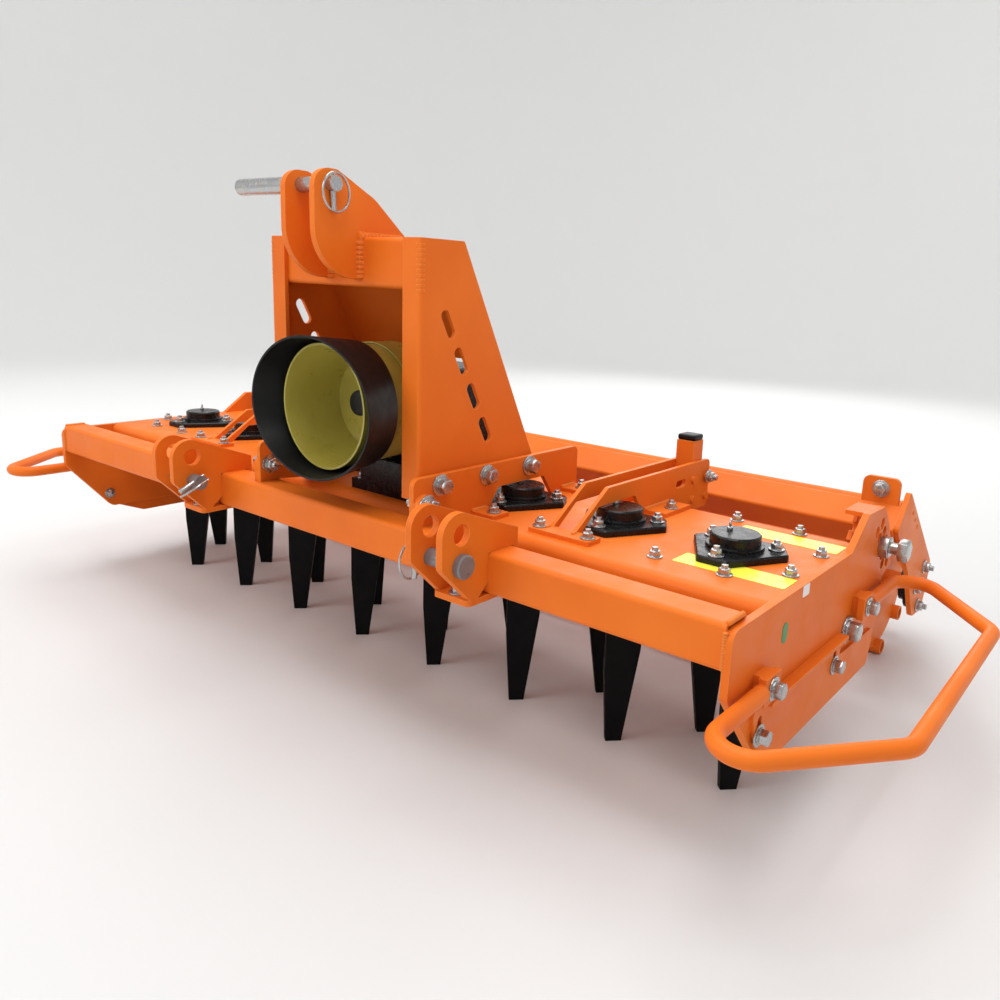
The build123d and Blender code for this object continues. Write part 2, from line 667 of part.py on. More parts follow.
def gearbox():
    x = (DRIVE_X - GEARBOX_HALF, DRIVE_X + GEARBOX_HALF)
    body = fillet(block(x, (GEARBOX_FRONT, GEARBOX_REAR), (GEARBOX_LOW, GEARBOX_TOP)).edges(), GEARBOX_ROUND)
    body += block((DRIVE_X - PEDESTAL_HALF, DRIVE_X + PEDESTAL_HALF), (PEDESTAL_FRONT, PEDESTAL_REAR),
                  (COVER_TOP, GEARBOX_LOW + PEDESTAL_OVERLAP))
    body += block((DRIVE_X - PEDESTAL_FLANGE, DRIVE_X + PEDESTAL_FLANGE), (PEDESTAL_FRONT, PEDESTAL_REAR),
                  (COVER_TOP, COVER_TOP + PEDESTAL_SHEET))
    faces = (GEARBOX_FRONT - FLANGE_DEPTH, GEARBOX_FRONT + BORE_DEPTH)
    middle, length = span(*faces)
    body += rod((DRIVE_X, middle, INPUT_Z), (0, 1, 0), length, FLANGE_RADIUS)
    middle, length = span(GEARBOX_FRONT - BOSS_LENGTH, faces[1])
    body += rod((DRIVE_X, middle, INPUT_Z), (0, 1, 0), length, INPUT_BOSS)
    body -= rod((DRIVE_X, middle, INPUT_Z), (0, 1, 0), length, INPUT_RADIUS + RUNNING_GAP)
    wall = GEARBOX_WALL
    return body - block((x[0] + wall, x[1] - wall), (faces[1] + wall, GEARBOX_REAR - wall),
                        (GEARBOX_LOW + GEARBOX_ROUND, GEARBOX_TOP - wall))


def pto_shaft():
    middle, length = span(INPUT_TIP, GEARBOX_FRONT + BORE_DEPTH - 2)
    shaft = rod((DRIVE_X, middle, INPUT_Z), (0, 1, 0), length, INPUT_RADIUS)
    splined, length = span(INPUT_TIP, GEARBOX_FRONT - BOSS_LENGTH - 12)
    for i in range(SPLINE_COUNT):
        turn = 360 / SPLINE_COUNT * i
        groove = Rot(0, turn, 0) * Pos(0, 0, INPUT_RADIUS) * Box(SPLINE_WIDTH, length, 2 * SPLINE_DEPTH)
        shaft -= Pos(DRIVE_X, splined, INPUT_Z) * groove
    return shaft


GUARD_SHEET = 4.0
GUARD_FRONT = BEAM_FRONT + 3.0
GUARD_REAR = GEARBOX_FRONT - FLANGE_DEPTH
GUARD_MOUTH = 113.0
GUARD_BACK = 106.0
GUARD_WALL_Y = BEAM_FRONT + 108.0
GUARD_BOWL = 84.0
GUARD_EYE = 31.0
COLLAR_FRONT = BEAM_FRONT - 30.0
COLLAR_REAR = BEAM_FRONT + 75.0
COLLAR_SHEET = 6.0
COLLAR_HALF_WIDTH = 165.0
COLLAR_HALF_HEIGHT = 127.0


def ring_plane(y):
    return Plane(origin=(DRIVE_X, y, INPUT_Z), x_dir=(1, 0, 0), z_dir=(0, -1, 0))


def taper(rear, rear_radius, front, front_radius):
    """Round frustum about the input axis."""
    return loft([ring_plane(rear) * Circle(rear_radius), ring_plane(front) * Circle(front_radius)])


def guard_radius(y):
    share = (GUARD_REAR - y) / (GUARD_REAR - GUARD_FRONT)
    return GUARD_BACK + (GUARD_MOUTH - GUARD_BACK) * share


def pto_guard_cone():
    wall_back = GUARD_WALL_Y + GUARD_SHEET
    body = taper(GUARD_REAR, GUARD_BACK, GUARD_FRONT, GUARD_MOUTH)
    body -= taper(GUARD_WALL_Y, GUARD_BOWL, GUARD_FRONT, GUARD_MOUTH - GUARD_SHEET)
    body -= taper(GUARD_REAR, GUARD_BACK - GUARD_SHEET, wall_back, guard_radius(wall_back) - GUARD_SHEET)
    middle, length = span(GUARD_WALL_Y, wall_back)
    return body - rod((DRIVE_X, middle, INPUT_Z), (0, 1, 0), length, GUARD_EYE)


def pto_guard_collar():
    seat = guard_radius(COLLAR_REAR) + SEAT_GAP
    rear = ring_plane(COLLAR_REAR)
    front = ring_plane(COLLAR_FRONT)
    outer = loft([rear * Circle(seat + COLLAR_SHEET),
                  front * Ellipse(COLLAR_HALF_WIDTH, COLLAR_HALF_HEIGHT)], ruled=True)
    inner = loft([rear * Circle(seat),
                  front * Ellipse(COLLAR_HALF_WIDTH - GUARD_SHEET, COLLAR_HALF_HEIGHT - GUARD_SHEET)], ruled=True)
    return outer - inner


# Levelling bar and its brackets
LEVELLER_X = ROTOR_X[-2] - 40.0
POST_SIZE = 40.0
POST_OFFSET = 320.0
LEVELLER_SHEET = 8.0
LEVELLER_TOP = COVER_TOP + 71.0
LEVELLER_LOW = COVER_TOP - 30.0
POST_Y = ROTOR_Y + POST_OFFSET
POST_TOP = LEVELLER_TOP + 42.0
BRACKET_REAR = POST_Y + 42.0
LEVELLER_TOE = -128.0
LEVELLER_KNEE = -112.0
LEVELLER_CREST = -23.0
GUIDE_RADIUS = 8.0
GUIDE_OUT = 6.0
GUIDE_HEIGHTS = (LEVELLER_TOP - 36.0, COVER_TOP - 6.0)
LEVELLER_CUT_TOP = 52.0
LEVELLER_CUT_FOOT = 106.0
LEVELLER_FEET = ((-146.0, -110.0), (104.0, 200.0))
LEVELLER_FOOT_INNER = 24.0
LEVELLER_FOOT_OUTER = 46.0
WINDOW_Y = POST_Y - 78.0
WINDOW_LENGTH = 40.0
WINDOW_WIDTH = 16.0
LEVEL_BAR_TOP = BEAM_CLEARANCE - 70.0
LEVEL_BAR_LOW = BEAM_CLEARANCE - 240.0
LEVEL_BAR_SHEET = 8.0
LEVEL_BAR_HALF = ROTOR_X[-1] + 60.0
LEVEL_RIB_INSET = 40.0
LEVEL_RIB_DEPTH = 30.0
LEVEL_RIB_DROP = 60.0


def leveller_plate(x):
    plate = side_sheet([
        (ROTOR_Y + LEVELLER_TOE, COVER_TOP, 0),
        (ROTOR_Y + LEVELLER_KNEE, COVER_TOP + 12, 0),
        (ROTOR_Y + LEVELLER_CREST, LEVELLER_TOP, 0),
        (BRACKET_REAR, LEVELLER_TOP, 12),
        (BRACKET_REAR, LEVELLER_LOW, 12),
        (COVER_REAR + 50, LEVELLER_LOW, 0),
        (COVER_REAR + 10, COVER_TOP, 0),
        (ROTOR_Y + CAP_CLEARANCE, COVER_TOP, 0),
        (ROTOR_Y + CAP_CLEARANCE - CAP_SLOPE, CAP_ROOF, 8),
        (ROTOR_Y - LEVELLER_CUT_TOP, CAP_ROOF, 8),
        (ROTOR_Y - LEVELLER_CUT_FOOT, COVER_TOP, 0),
    ], x)
    return plate - side_slot(x, WINDOW_Y, GUIDE_HEIGHTS[0], WINDOW_LENGTH, WINDOW_WIDTH, 0)


def leveller_bracket():
    inner = POST_SIZE / 2 + SEAT_GAP
    outer = inner + LEVELLER_SHEET
    body = leveller_plate((LEVELLER_X + inner, LEVELLER_X + outer))
    body += leveller_plate((LEVELLER_X - outer, LEVELLER_X - inner))
    foot = (LEVELLER_X - outer - LEVELLER_FOOT_INNER, LEVELLER_X + outer + LEVELLER_FOOT_OUTER)
    for low, high in LEVELLER_FEET:
        body += block(foot, (ROTOR_Y + low, ROTOR_Y + high), (COVER_TOP, COVER_TOP + FOOT_SHEET))
    guide_x = (LEVELLER_X - outer - GUIDE_OUT, LEVELLER_X + outer + GUIDE_OUT)
    for side in (-1, 1):
        for z in GUIDE_HEIGHTS:
            body += rod_x(guide_x, POST_Y + side * (inner + GUIDE_RADIUS), z, GUIDE_RADIUS)
    return body


def leveller_bar():
    front = POST_Y - POST_SIZE / 2
    body = front_sheet([
        (-LEVEL_BAR_HALF, LEVEL_BAR_LOW, 15),
        (-LEVEL_BAR_HALF, LEVEL_BAR_TOP, 15),
        (LEVEL_BAR_HALF, LEVEL_BAR_TOP, 15),
        (LEVEL_BAR_HALF, LEVEL_BAR_LOW, 15),
    ], (front - LEVEL_BAR_SHEET, front))
    rib_half = LEVEL_BAR_HALF - LEVEL_RIB_INSET
    rib_low = LEVEL_BAR_TOP - LEVEL_RIB_DROP
    body += block((-rib_half, rib_half), (front, front + LEVEL_RIB_DEPTH), (rib_low, rib_low + LEVEL_BAR_SHEET))
    half = POST_SIZE / 2
    for x in (-LEVELLER_X, LEVELLER_X):
        body += block((x - half, x + half), (front, POST_Y + half), (LEVEL_BAR_LOW + POST_SIZE, POST_TOP))
    return body


# Roller frame: tilted rear beam, arms inside the side plates and end plates
ROLLER_BEAM_OFFSET = 447.0
ROLLER_BEAM_Y = ROTOR_Y + ROLLER_BEAM_OFFSET
ROLLER_BEAM_Z = BEAM_CLEARANCE + 40.0
ROLLER_BEAM_SIZE = 70.0
ROLLER_BEAM_TILT = 40.0
ROLLER_BEAM_WALL = 5.0
ROLLER_BEAM_CORNER = 6.0
END_SHEET = 10.0
END_INNER = SIDE_OUTER - 5.0
STOP_WIDTH = 72.0
STOP_SHEET = 10.0
STOP_RISE = 62.0
STOP_DROP = 30.0
STOP_INSET = 8.0


def tilted_square(size, x):
    face = Rot(0, 0, ROLLER_BEAM_TILT) * RectangleRounded(size, size, ROLLER_BEAM_CORNER)
    plane = Plane.YZ.offset(x[0]) * Pos(ROLLER_BEAM_Y, ROLLER_BEAM_Z)
    return extrude(plane * face, x[1] - x[0], dir=(1, 0, 0))


def roller_beam():
    x = (-END_INNER, END_INNER)
    solid = tilted_square(ROLLER_BEAM_SIZE, x)
    body = solid - tilted_square(ROLLER_BEAM_SIZE - 2 * ROLLER_BEAM_WALL, x)
    top = ROLLER_BEAM_Z + ROLLER_BEAM_SIZE / 2
    stop_outer = END_INNER - STOP_INSET
    for side in (-1, 1):
        near, far = sorted((side * stop_outer, side * (stop_outer - STOP_WIDTH)))
        stop = front_sheet([
            (near, top - STOP_DROP, 0),
            (near, top + STOP_RISE, 14),
            (far, top + STOP_RISE, 14),
            (far, top - STOP_DROP, 0),
        ], (ROLLER_BEAM_Y - 2, ROLLER_BEAM_Y - 2 + STOP_SHEET))
        body += stop - solid
    return body


ARM_RISE = atan2(ROLLER_BEAM_Z - PIVOT_Z, ROLLER_BEAM_Y - PIVOT_Y)
ARM_LENGTH = (ROLLER_BEAM_Y - PIVOT_Y) / cos(ARM_RISE)
ARM_END_HALF = 24.0
ARM_TAPER = 80.0
ARM_HALF = INNER_RING * sin(radians(DEPTH_ANGLE) - ARM_RISE) - DEPTH_PIN_RADIUS - SEAT_GAP


def roller_arm():
    x = (ARM_INNER, ARM_OUTER)
    along = (cos(ARM_RISE), sin(ARM_RISE))
    across = (-sin(ARM_RISE), cos(ARM_RISE))

    def point(distance, side):
        y = PIVOT_Y + along[0] * distance + across[0] * side
        z = PIVOT_Z + along[1] * distance + across[1] * side
        return y, z, 0

    tapered = ARM_LENGTH - ARM_TAPER
    body = side_sheet([
        point(0, ARM_HALF),
        point(0, -ARM_HALF),
        point(tapered, -ARM_HALF),
        point(ARM_LENGTH, -ARM_END_HALF),
        point(ARM_LENGTH, ARM_END_HALF),
        point(tapered, ARM_HALF),
    ], x)
    body += rod_x(x, PIVOT_Y, PIVOT_Z, ARM_HALF)
    body -= rod_x(x, PIVOT_Y, PIVOT_Z, PIVOT_RADIUS + RUNNING_GAP)
    return body - tilted_square(ROLLER_BEAM_SIZE, x)


ROLLER_Z = ROLLER_RADIUS
ROLLER_SHAFT = 20.0
BEARING_RADIUS = 52.0
BEARING_DEPTH = 26.0
BEARING_FLANGE = 12.0
BEARING_STEP = 14.0
END_HOLES = 3
END_HOLE_RADIUS = 5.0
END_HOLE_STEP = 30.0
END_HOLE_INSET = 16.0
END_PEAK = (ROLLER_BEAM_Y + 14.0, ROLLER_BEAM_Z + 74.0)
END_TAIL = (ROLLER_Y + 66.0, ROLLER_Z + 40.0)


def roller_end():
    x = (END_INNER, END_INNER + END_SHEET)
    body = side_sheet([
        (*END_PEAK, 8),
        (ROLLER_BEAM_Y - 46, ROLLER_BEAM_Z + 4, 10),
        (ROLLER_Y - 120, ROLLER_Z + 58, 0),
        (ROLLER_Y - 40, ROLLER_Z - 60, 20),
        (ROLLER_Y + 40, ROLLER_Z - 66, 20),
        (*END_TAIL, 30),
    ], x)
    edge = atan2(END_TAIL[1] - END_PEAK[1], END_TAIL[0] - END_PEAK[0])
    for i in range(END_HOLES):
        along = END_HOLE_STEP * (i + 2)
        y = END_PEAK[0] + along * cos(edge) + END_HOLE_INSET * sin(edge)
        z = END_PEAK[1] + along * sin(edge) - END_HOLE_INSET * cos(edge)
        body -= rod_x(x, y, z, END_HOLE_RADIUS)
    return body


def roller_bearing():
    x = (END_INNER - BEARING_DEPTH, END_INNER)
    flange = rod_x((END_INNER - BEARING_FLANGE, END_INNER), ROLLER_Y, ROLLER_Z, BEARING_RADIUS)
    flange += rod_x(x, ROLLER_Y, ROLLER_Z, BEARING_RADIUS - BEARING_STEP)
    return flange - rod_x(x, ROLLER_Y, ROLLER_Z, ROLLER_SHAFT + RUNNING_GAP)


# Cage roller
BAR_RADIUS = 17.0
BAR_WALL = 4.0
BAR_CIRCLE = ROLLER_RADIUS - BAR_RADIUS
ROLLER_HALF = CHEEK_INNER - 8.0
DISC_SHEET = 8.0
DISC_COUNT = 5
DISC_INSET = 20.0
CORE_RADIUS = 32.0
BAR_FIRST = 270.0


def roller():
    disc_half = ROLLER_HALF - DISC_INSET
    body = rod_x((-disc_half, disc_half), ROLLER_Y, ROLLER_Z, CORE_RADIUS)
    body += rod_x((-END_INNER + 2, END_INNER - 2), ROLLER_Y, ROLLER_Z, ROLLER_SHAFT)
    step = 2 * disc_half / (DISC_COUNT - 1)
    for i in range(DISC_COUNT):
        x = -disc_half + step * i
        body += rod_x((x - DISC_SHEET / 2, x + DISC_SHEET / 2), ROLLER_Y, ROLLER_Z, BAR_CIRCLE)
    for i in range(ROLLER_BARS):
        turn = radians(BAR_FIRST + 360 / ROLLER_BARS * i)
        y = ROLLER_Y + BAR_CIRCLE * cos(turn)
        z = ROLLER_Z + BAR_CIRCLE * sin(turn)
        body += rod_x((-ROLLER_HALF, ROLLER_HALF), y, z, BAR_RADIUS)
        body -= rod_x((-ROLLER_HALF, ROLLER_HALF), y, z, BAR_RADIUS - BAR_WALL)
    return body


# Writing the sub-parts
def write(name, shape):
    if isinstance(shape, list):
        shape = Compound(children=[Part(solid.wrapped) for solid in shape])
    export_step(shape, f"parts/{name}.step")


def write_pair(name, shape, x=0.0):
    write(f"{name}_r", shape)
    write(f"{name}_l", opposite(shape, x))


def both(shape):
    """A shape and its mirror image, for one node."""
    return [opposite(shape), shape]


def main():
    os.makedirs("parts", exist_ok=True)
    write("front_beam", front_beam())
    write("gear_trough", gear_trough())
    write("trough_cover", trough_cover())
    write("bearing_caps", bearing_caps())
    for i, x in enumerate(ROTOR_X):
        write(f"rotor_{i + 1}", rotor(x))
    write_pair("side_plate", side_plate())
    write("depth_pins", both(depth_pin()))
    write_pair("side_deflector", side_deflector())
    write_pair("guard_hoop", guard_hoop())
    write_pair("hitch_bracket", hitch_bracket(), DRIVE_X)
    write_pair("hitch_pin", hitch_pin(), DRIVE_X)
    write_pair("mast_upright", mast_upright(), DRIVE_X)
    write("mast_crossbar", mast_crossbar())
    write("mast_back", mast_back())
    write("top_link_ears", top_link_ears())
    write("top_link_pin", top_link_pin())
    write_pair("mast_base", mast_base(), DRIVE_X)
    write("gearbox", gearbox())
    write("pto_shaft", pto_shaft())
    write("pto_guard_cone", pto_guard_cone())
    write("pto_guard_collar", pto_guard_collar())
    write_pair("leveller_bracket", leveller_bracket())
    write("leveller_bar", leveller_bar())
    write("roller_beam", roller_beam())
    write_pair("roller_arm", roller_arm())
    write_pair("roller_end", roller_end())
    write("roller_bearings", both(roller_bearing()))
    write("roller", roller())


main()
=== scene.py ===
# %% [markdown]
# # A power harrow, dressed for its portrait
#
# The steelwork arrives as finished solids: beam, trough, rotors, mast, hoops and cage roller. This lesson
# adds what a paint shop and a fitter add: enamel, plating, plastic, nuts and bolts, linchpins, weld beads
# and bare sticker strips. Every new piece is fastened to the body that carries it, so it moves with it.

# %% The frame
import json
from math import cos, radians, sin, sqrt

import bpy
from mathutils import Matrix, Vector


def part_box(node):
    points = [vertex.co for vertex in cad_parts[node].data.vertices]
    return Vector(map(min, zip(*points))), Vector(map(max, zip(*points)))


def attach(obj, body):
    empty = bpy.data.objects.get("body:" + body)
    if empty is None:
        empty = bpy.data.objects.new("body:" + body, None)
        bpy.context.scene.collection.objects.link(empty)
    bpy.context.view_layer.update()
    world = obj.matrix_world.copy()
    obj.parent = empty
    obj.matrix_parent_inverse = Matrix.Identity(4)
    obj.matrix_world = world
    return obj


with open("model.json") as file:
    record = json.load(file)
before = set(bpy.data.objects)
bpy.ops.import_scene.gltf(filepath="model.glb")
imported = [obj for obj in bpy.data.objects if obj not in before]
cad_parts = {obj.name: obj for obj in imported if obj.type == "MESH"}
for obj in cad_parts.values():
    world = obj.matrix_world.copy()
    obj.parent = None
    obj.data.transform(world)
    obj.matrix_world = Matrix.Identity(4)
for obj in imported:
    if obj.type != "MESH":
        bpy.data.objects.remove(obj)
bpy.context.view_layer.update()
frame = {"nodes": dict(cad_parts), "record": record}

# %% [markdown]
# ## The camera
#
# The portrait is taken from the front right, a little above the cover, with a wide lens held slightly
# askew. A camera's own axes are the columns of its matrix, so the tilt is built from three unit vectors.

# %% Camera
CAMERA_PLACE = (1.3426, -1.4506, 0.7923)
CAMERA_AZIMUTH = radians(36.6)
CAMERA_ELEVATION = radians(13.0)
CAMERA_ROLL = radians(2.7)
CAMERA_LENS = 30.47
CAMERA_SHIFT = (-0.058, -0.0232)
CAMERA_REACH = 100.0


def camera_matrix():
    back = Vector((
        sin(CAMERA_AZIMUTH) * cos(CAMERA_ELEVATION),
        -cos(CAMERA_AZIMUTH) * cos(CAMERA_ELEVATION),
        sin(CAMERA_ELEVATION),
    ))
    level = Vector((cos(CAMERA_AZIMUTH), sin(CAMERA_AZIMUTH), 0.0))
    upright = back.cross(level)
    right = level * cos(CAMERA_ROLL) + upright * sin(CAMERA_ROLL)
    up = upright * cos(CAMERA_ROLL) - level * sin(CAMERA_ROLL)
    matrix = Matrix((right, up, back)).transposed().to_4x4()
    matrix.translation = CAMERA_PLACE
    return matrix


bpy.ops.object.select_all(action="DESELECT")
bpy.ops.object.camera_add()
camera = bpy.context.object
camera.name = "portrait_camera"
camera.matrix_world = camera_matrix()
camera.data.lens = CAMERA_LENS
camera.data.shift_x, camera.data.shift_y = CAMERA_SHIFT
camera.data.clip_end = CAMERA_REACH
bpy.context.scene.camera = camera
print("camera", [round(v, 3) for v in camera.location])

# %% [markdown]
# ## The studio
#
# Big soft lights: one overhead that brightens every top face, one at the front left for the faces of beam
# and mast, a small one high at the right that grazes the side of the mast, and one behind for the edges.
# Four more hang above the machine and face outwards, to wash the wall of the cove evenly.

# %% Lights
# name, place, target, size, watts
SOFT_LIGHTS = (
    ("overhead", (-0.6, 0.2, 4.2), (0.0, 0.0, 0.3), 3.4, 122.0),
    ("front_left", (-2.2, -4.2, 2.8), (0.0, -0.2, 0.4), 2.6, 72.0),
    ("right_high", (1.0, -1.0, 2.5), (0.3, -0.3, 0.7), 0.9, 13.0),
    ("behind", (-1.5, 4.5, 2.8), (0.0, 0.2, 0.5), 3.0, 55.0),
    ("wall_rear", (0.0, 3.0, 4.6), (0.0, 9.0, 1.6), 3.0, 150.0),
    ("wall_front", (0.0, -3.0, 4.6), (0.0, -9.0, 1.6), 3.0, 150.0),
    ("wall_left", (-3.0, 0.0, 4.6), (-9.0, 0.0, 1.6), 3.0, 150.0),
    ("wall_right", (3.0, 0.0, 4.6), (9.0, 0.0, 1.6), 3.0, 150.0),
)
AMBIENT_SHADE = (1.0, 1.0, 1.0, 1.0)
AMBIENT_STRENGTH = 0.52


def add_soft_light(name, place, target, size, watts):
    bpy.ops.object.light_add(type="AREA", location=place)
    lamp = bpy.context.object
    lamp.name = name
    lamp.data.size = size
    lamp.data.energy = watts
    toward = Vector(target) - Vector(place)
    lamp.rotation_euler = toward.to_track_quat("-Z", "Y").to_euler()


for row in SOFT_LIGHTS:
    add_soft_light(*row)

world = bpy.data.worlds.new("studio")
world.use_nodes = True
ambient = world.node_tree.nodes["Background"]
ambient.inputs["Color"].default_value = AMBIENT_SHADE
ambient.inputs["Strength"].default_value = AMBIENT_STRENGTH
bpy.context.scene.world = world
bpy.context.scene.view_settings.view_transform = "Standard"
print("lights", len(SOFT_LIGHTS))

# %% [markdown]
# ## The floor
#
# A photographer's cove has no corner: the floor sweeps up into the wall, so no horizon shows. A filled
# circle is the floor. Its rim is extruded again and again, each time a little higher and wider along a
# quarter round, and last of all straight up.

# %% Floor
FLOOR_RADIUS = 6.0
FLOOR_SIDES = 96
SWEEP = 3.0
SWEEP_STEPS = 10
WALL = 4.0
COVE_SMOOTH = radians(30.0)


def raise_rim(rise, growth):
    bpy.ops.mesh.extrude_edges_move(TRANSFORM_OT_translate={"value": (0.0, 0.0, rise)})
    bpy.ops.transform.resize(value=(growth, growth, 1.0), center_override=(0.0, 0.0, 0.0))


def add_cove():
    bpy.ops.object.select_all(action="DESELECT")
    bpy.ops.mesh.primitive_circle_add(vertices=FLOOR_SIDES, radius=FLOOR_RADIUS, fill_type="NGON")
    cove = bpy.context.object
    cove.name = "floor"
    bpy.ops.object.mode_set(mode="EDIT")
    bpy.ops.mesh.select_mode(type="EDGE")
    bpy.ops.mesh.select_all(action="SELECT")
    radius, height = FLOOR_RADIUS, 0.0
    for i in range(1, SWEEP_STEPS + 1):
        turn = radians(90.0 * i / SWEEP_STEPS)
        wider, higher = FLOOR_RADIUS + SWEEP * sin(turn), SWEEP * (1.0 - cos(turn))
        raise_rim(higher - height, wider / radius)
        radius, height = wider, higher
    raise_rim(WALL, 1.0)
    bpy.ops.object.mode_set(mode="OBJECT")
    bpy.ops.object.shade_smooth_by_angle(angle=COVE_SMOOTH)
    return cove


floor = add_cove()
print("floor", FLOOR_RADIUS, "m, wall", SWEEP + WALL, "m high")

# %% [markdown]
# ## Building a finish
#
# Each finish is a small node tree on Object coordinates: broad noise for cloudiness of colour, fine noise
# for the grain in the bump, and a Bevel node that rounds the sharp edges of the solids in the shading, as
# a coat of paint does. A few helpers keep the trees short.

# %% Helpers for node trees
EDGE_SAMPLES = 4
# places of the colour sockets on a Mix node, whose sockets share their names
MIX_FIRST = 6
MIX_SECOND = 7
MIX_RESULT = 2


def new_finish(name):
    finish = bpy.data.materials.new(name)
    finish.use_nodes = True
    tree = finish.node_tree
    place = tree.nodes.new("ShaderNodeTexCoord").outputs["Object"]
    return finish, tree, tree.nodes["Principled BSDF"], place


def add_noise(tree, place, scale, detail=3.0):
    noise = tree.nodes.new("ShaderNodeTexNoise")
    noise.inputs["Scale"].default_value = scale
    noise.inputs["Detail"].default_value = detail
    tree.links.new(place, noise.inputs["Vector"])
    return noise.outputs["Fac"]


def add_range(tree, value, low, high, from_low=0.3, from_high=0.7):
    node = tree.nodes.new("ShaderNodeMapRange")
    node.inputs["From Min"].default_value = from_low
    node.inputs["From Max"].default_value = from_high
    node.inputs["To Min"].default_value = low
    node.inputs["To Max"].default_value = high
    tree.links.new(value, node.inputs["Value"])
    return node.outputs["Result"]


def add_blend(tree, value, first, second):
    """Colour between two shades, each a colour or another node's output."""
    node = tree.nodes.new("ShaderNodeMix")
    node.data_type = "RGBA"
    tree.links.new(value, node.inputs["Factor"])
    for socket, shade in ((node.inputs[MIX_FIRST], first), (node.inputs[MIX_SECOND], second)):
        if isinstance(shade, tuple):
            socket.default_value = (*shade, 1.0)
        else:
            tree.links.new(shade, socket)
    return node.outputs[MIX_RESULT]


def add_bump(tree, height, strength, distance, edge):
    """Bump on top of edges that are rounded by the given radius."""
    rounded = tree.nodes.new("ShaderNodeBevel")
    rounded.samples = EDGE_SAMPLES
    rounded.inputs["Radius"].default_value = edge
    bump = tree.nodes.new("ShaderNodeBump")
    bump.inputs["Strength"].default_value = strength
    bump.inputs["Distance"].default_value = distance
    tree.links.new(height, bump.inputs["Height"])
    tree.links.new(rounded.outputs["Normal"], bump.inputs["Normal"])
    return bump.outputs["Normal"]


print("helpers ready, edges rounded with", EDGE_SAMPLES, "samples")

# %% [markdown]
# ## Pale floor paint
#
# A studio floor is rolled with flat emulsion. It has one colour and no gloss, so that two values on the
# shader are enough and no texture is needed.

# %% Floor paint
FLOOR_SHADE = (0.69, 0.69, 0.686, 1.0)
FLOOR_ROUGHNESS = 0.8

pale_floor = bpy.data.materials.new("pale_floor")
pale_floor.use_nodes = True
floor_shader = pale_floor.node_tree.nodes["Principled BSDF"]
floor_shader.inputs["Base Color"].default_value = FLOOR_SHADE
floor_shader.inputs["Roughness"].default_value = FLOOR_ROUGHNESS
floor.data.materials.append(pale_floor)
print("floor paint", FLOOR_SHADE[:3])

# %% [markdown]
# ## Orange enamel
#
# Sprayed enamel over laser-cut plate has a soft gloss and a faint peel. The colour drifts a little where
# the coat is thicker, and a paler orange is painted on the edges as a painted highlight.

# %% Enamel
ENAMEL = (0.84, 0.188, 0.018)
ENAMEL_DEEP = (0.76, 0.15, 0.012)
# painted highlight: a paler orange painted on sharp edges, standing in for light that catches them
EDGE_HIGHLIGHT_SHADE = (0.95, 0.36, 0.09)
EDGE_HIGHLIGHT_WIDTH = 0.0022
ENAMEL_ROUND = 0.0018
ENAMEL_GLOSS = 0.16


def edge_mask(tree, radius):
    """One on sharp edges and nought on flat faces."""
    rounded = tree.nodes.new("ShaderNodeBevel")
    rounded.samples = EDGE_SAMPLES
    rounded.inputs["Radius"].default_value = radius
    plain = tree.nodes.new("ShaderNodeNewGeometry")
    dot = tree.nodes.new("ShaderNodeVectorMath")
    dot.operation = "DOT_PRODUCT"
    tree.links.new(rounded.outputs["Normal"], dot.inputs[0])
    tree.links.new(plain.outputs["True Normal"], dot.inputs[1])
    return add_range(tree, dot.outputs["Value"], low=1.0, high=0.0, from_low=0.75, from_high=0.99)


def enamel_finish():
    finish, tree, shader, place = new_finish("orange_enamel")
    drift = add_range(tree, add_noise(tree, place, scale=5.0), low=0.0, high=1.0)
    coat = add_blend(tree, drift, ENAMEL, ENAMEL_DEEP)
    # the sharp edges get the paler orange as a painted highlight
    painted_edge_highlight = add_blend(tree, edge_mask(tree, EDGE_HIGHLIGHT_WIDTH), coat, EDGE_HIGHLIGHT_SHADE)
    tree.links.new(painted_edge_highlight, shader.inputs["Base Color"])
    soft_gloss = add_range(tree, add_noise(tree, place, scale=22.0), low=0.36, high=0.5)
    tree.links.new(soft_gloss, shader.inputs["Roughness"])
    peel = add_noise(tree, place, scale=260.0, detail=2.0)
    skin = add_bump(tree, peel, strength=0.12, distance=0.0006, edge=ENAMEL_ROUND)
    tree.links.new(skin, shader.inputs["Normal"])
    shader.inputs["Specular IOR Level"].default_value = ENAMEL_GLOSS
    return finish


ORANGE_ENAMEL = enamel_finish()
print(ORANGE_ENAMEL.name, len(ORANGE_ENAMEL.node_tree.nodes), "nodes")

# %% [markdown]
# ## Castings, plating and plastic
#
# The caps and the gearbox are black-painted castings with a sandy skin, so their bump is the strongest.
# Pins and fasteners are zinc plated: a metal whose tint wanders between blue and straw. The guard is yellow
# plastic, and its collar is dull black. One function serves each kind, and its arguments tell its members
# apart.

# %% Kinds of finish
CASTING_LIFT = 1.7


def add_wear(tree, place, scale, roughness, below, above):
    """Roughness that wanders below and above the one that is given."""
    return add_range(tree, add_noise(tree, place, scale), roughness - below, roughness + above)


def casting_finish(name, shade, grain, roughness, gloss):
    finish, tree, shader, place = new_finish(name)
    drift = add_range(tree, add_noise(tree, place, scale=30.0), low=0.0, high=1.0)
    lighter = tuple(v * CASTING_LIFT for v in shade)
    tree.links.new(add_blend(tree, drift, shade, lighter), shader.inputs["Base Color"])
    worn = add_wear(tree, place, scale=70.0, roughness=roughness, below=0.08, above=0.1)
    tree.links.new(worn, shader.inputs["Roughness"])
    shader.inputs["Specular IOR Level"].default_value = gloss
    sand = add_noise(tree, place, scale=grain, detail=4.0)
    skin = add_bump(tree, sand, strength=0.3, distance=0.0012, edge=0.002)
    tree.links.new(skin, shader.inputs["Normal"])
    return finish


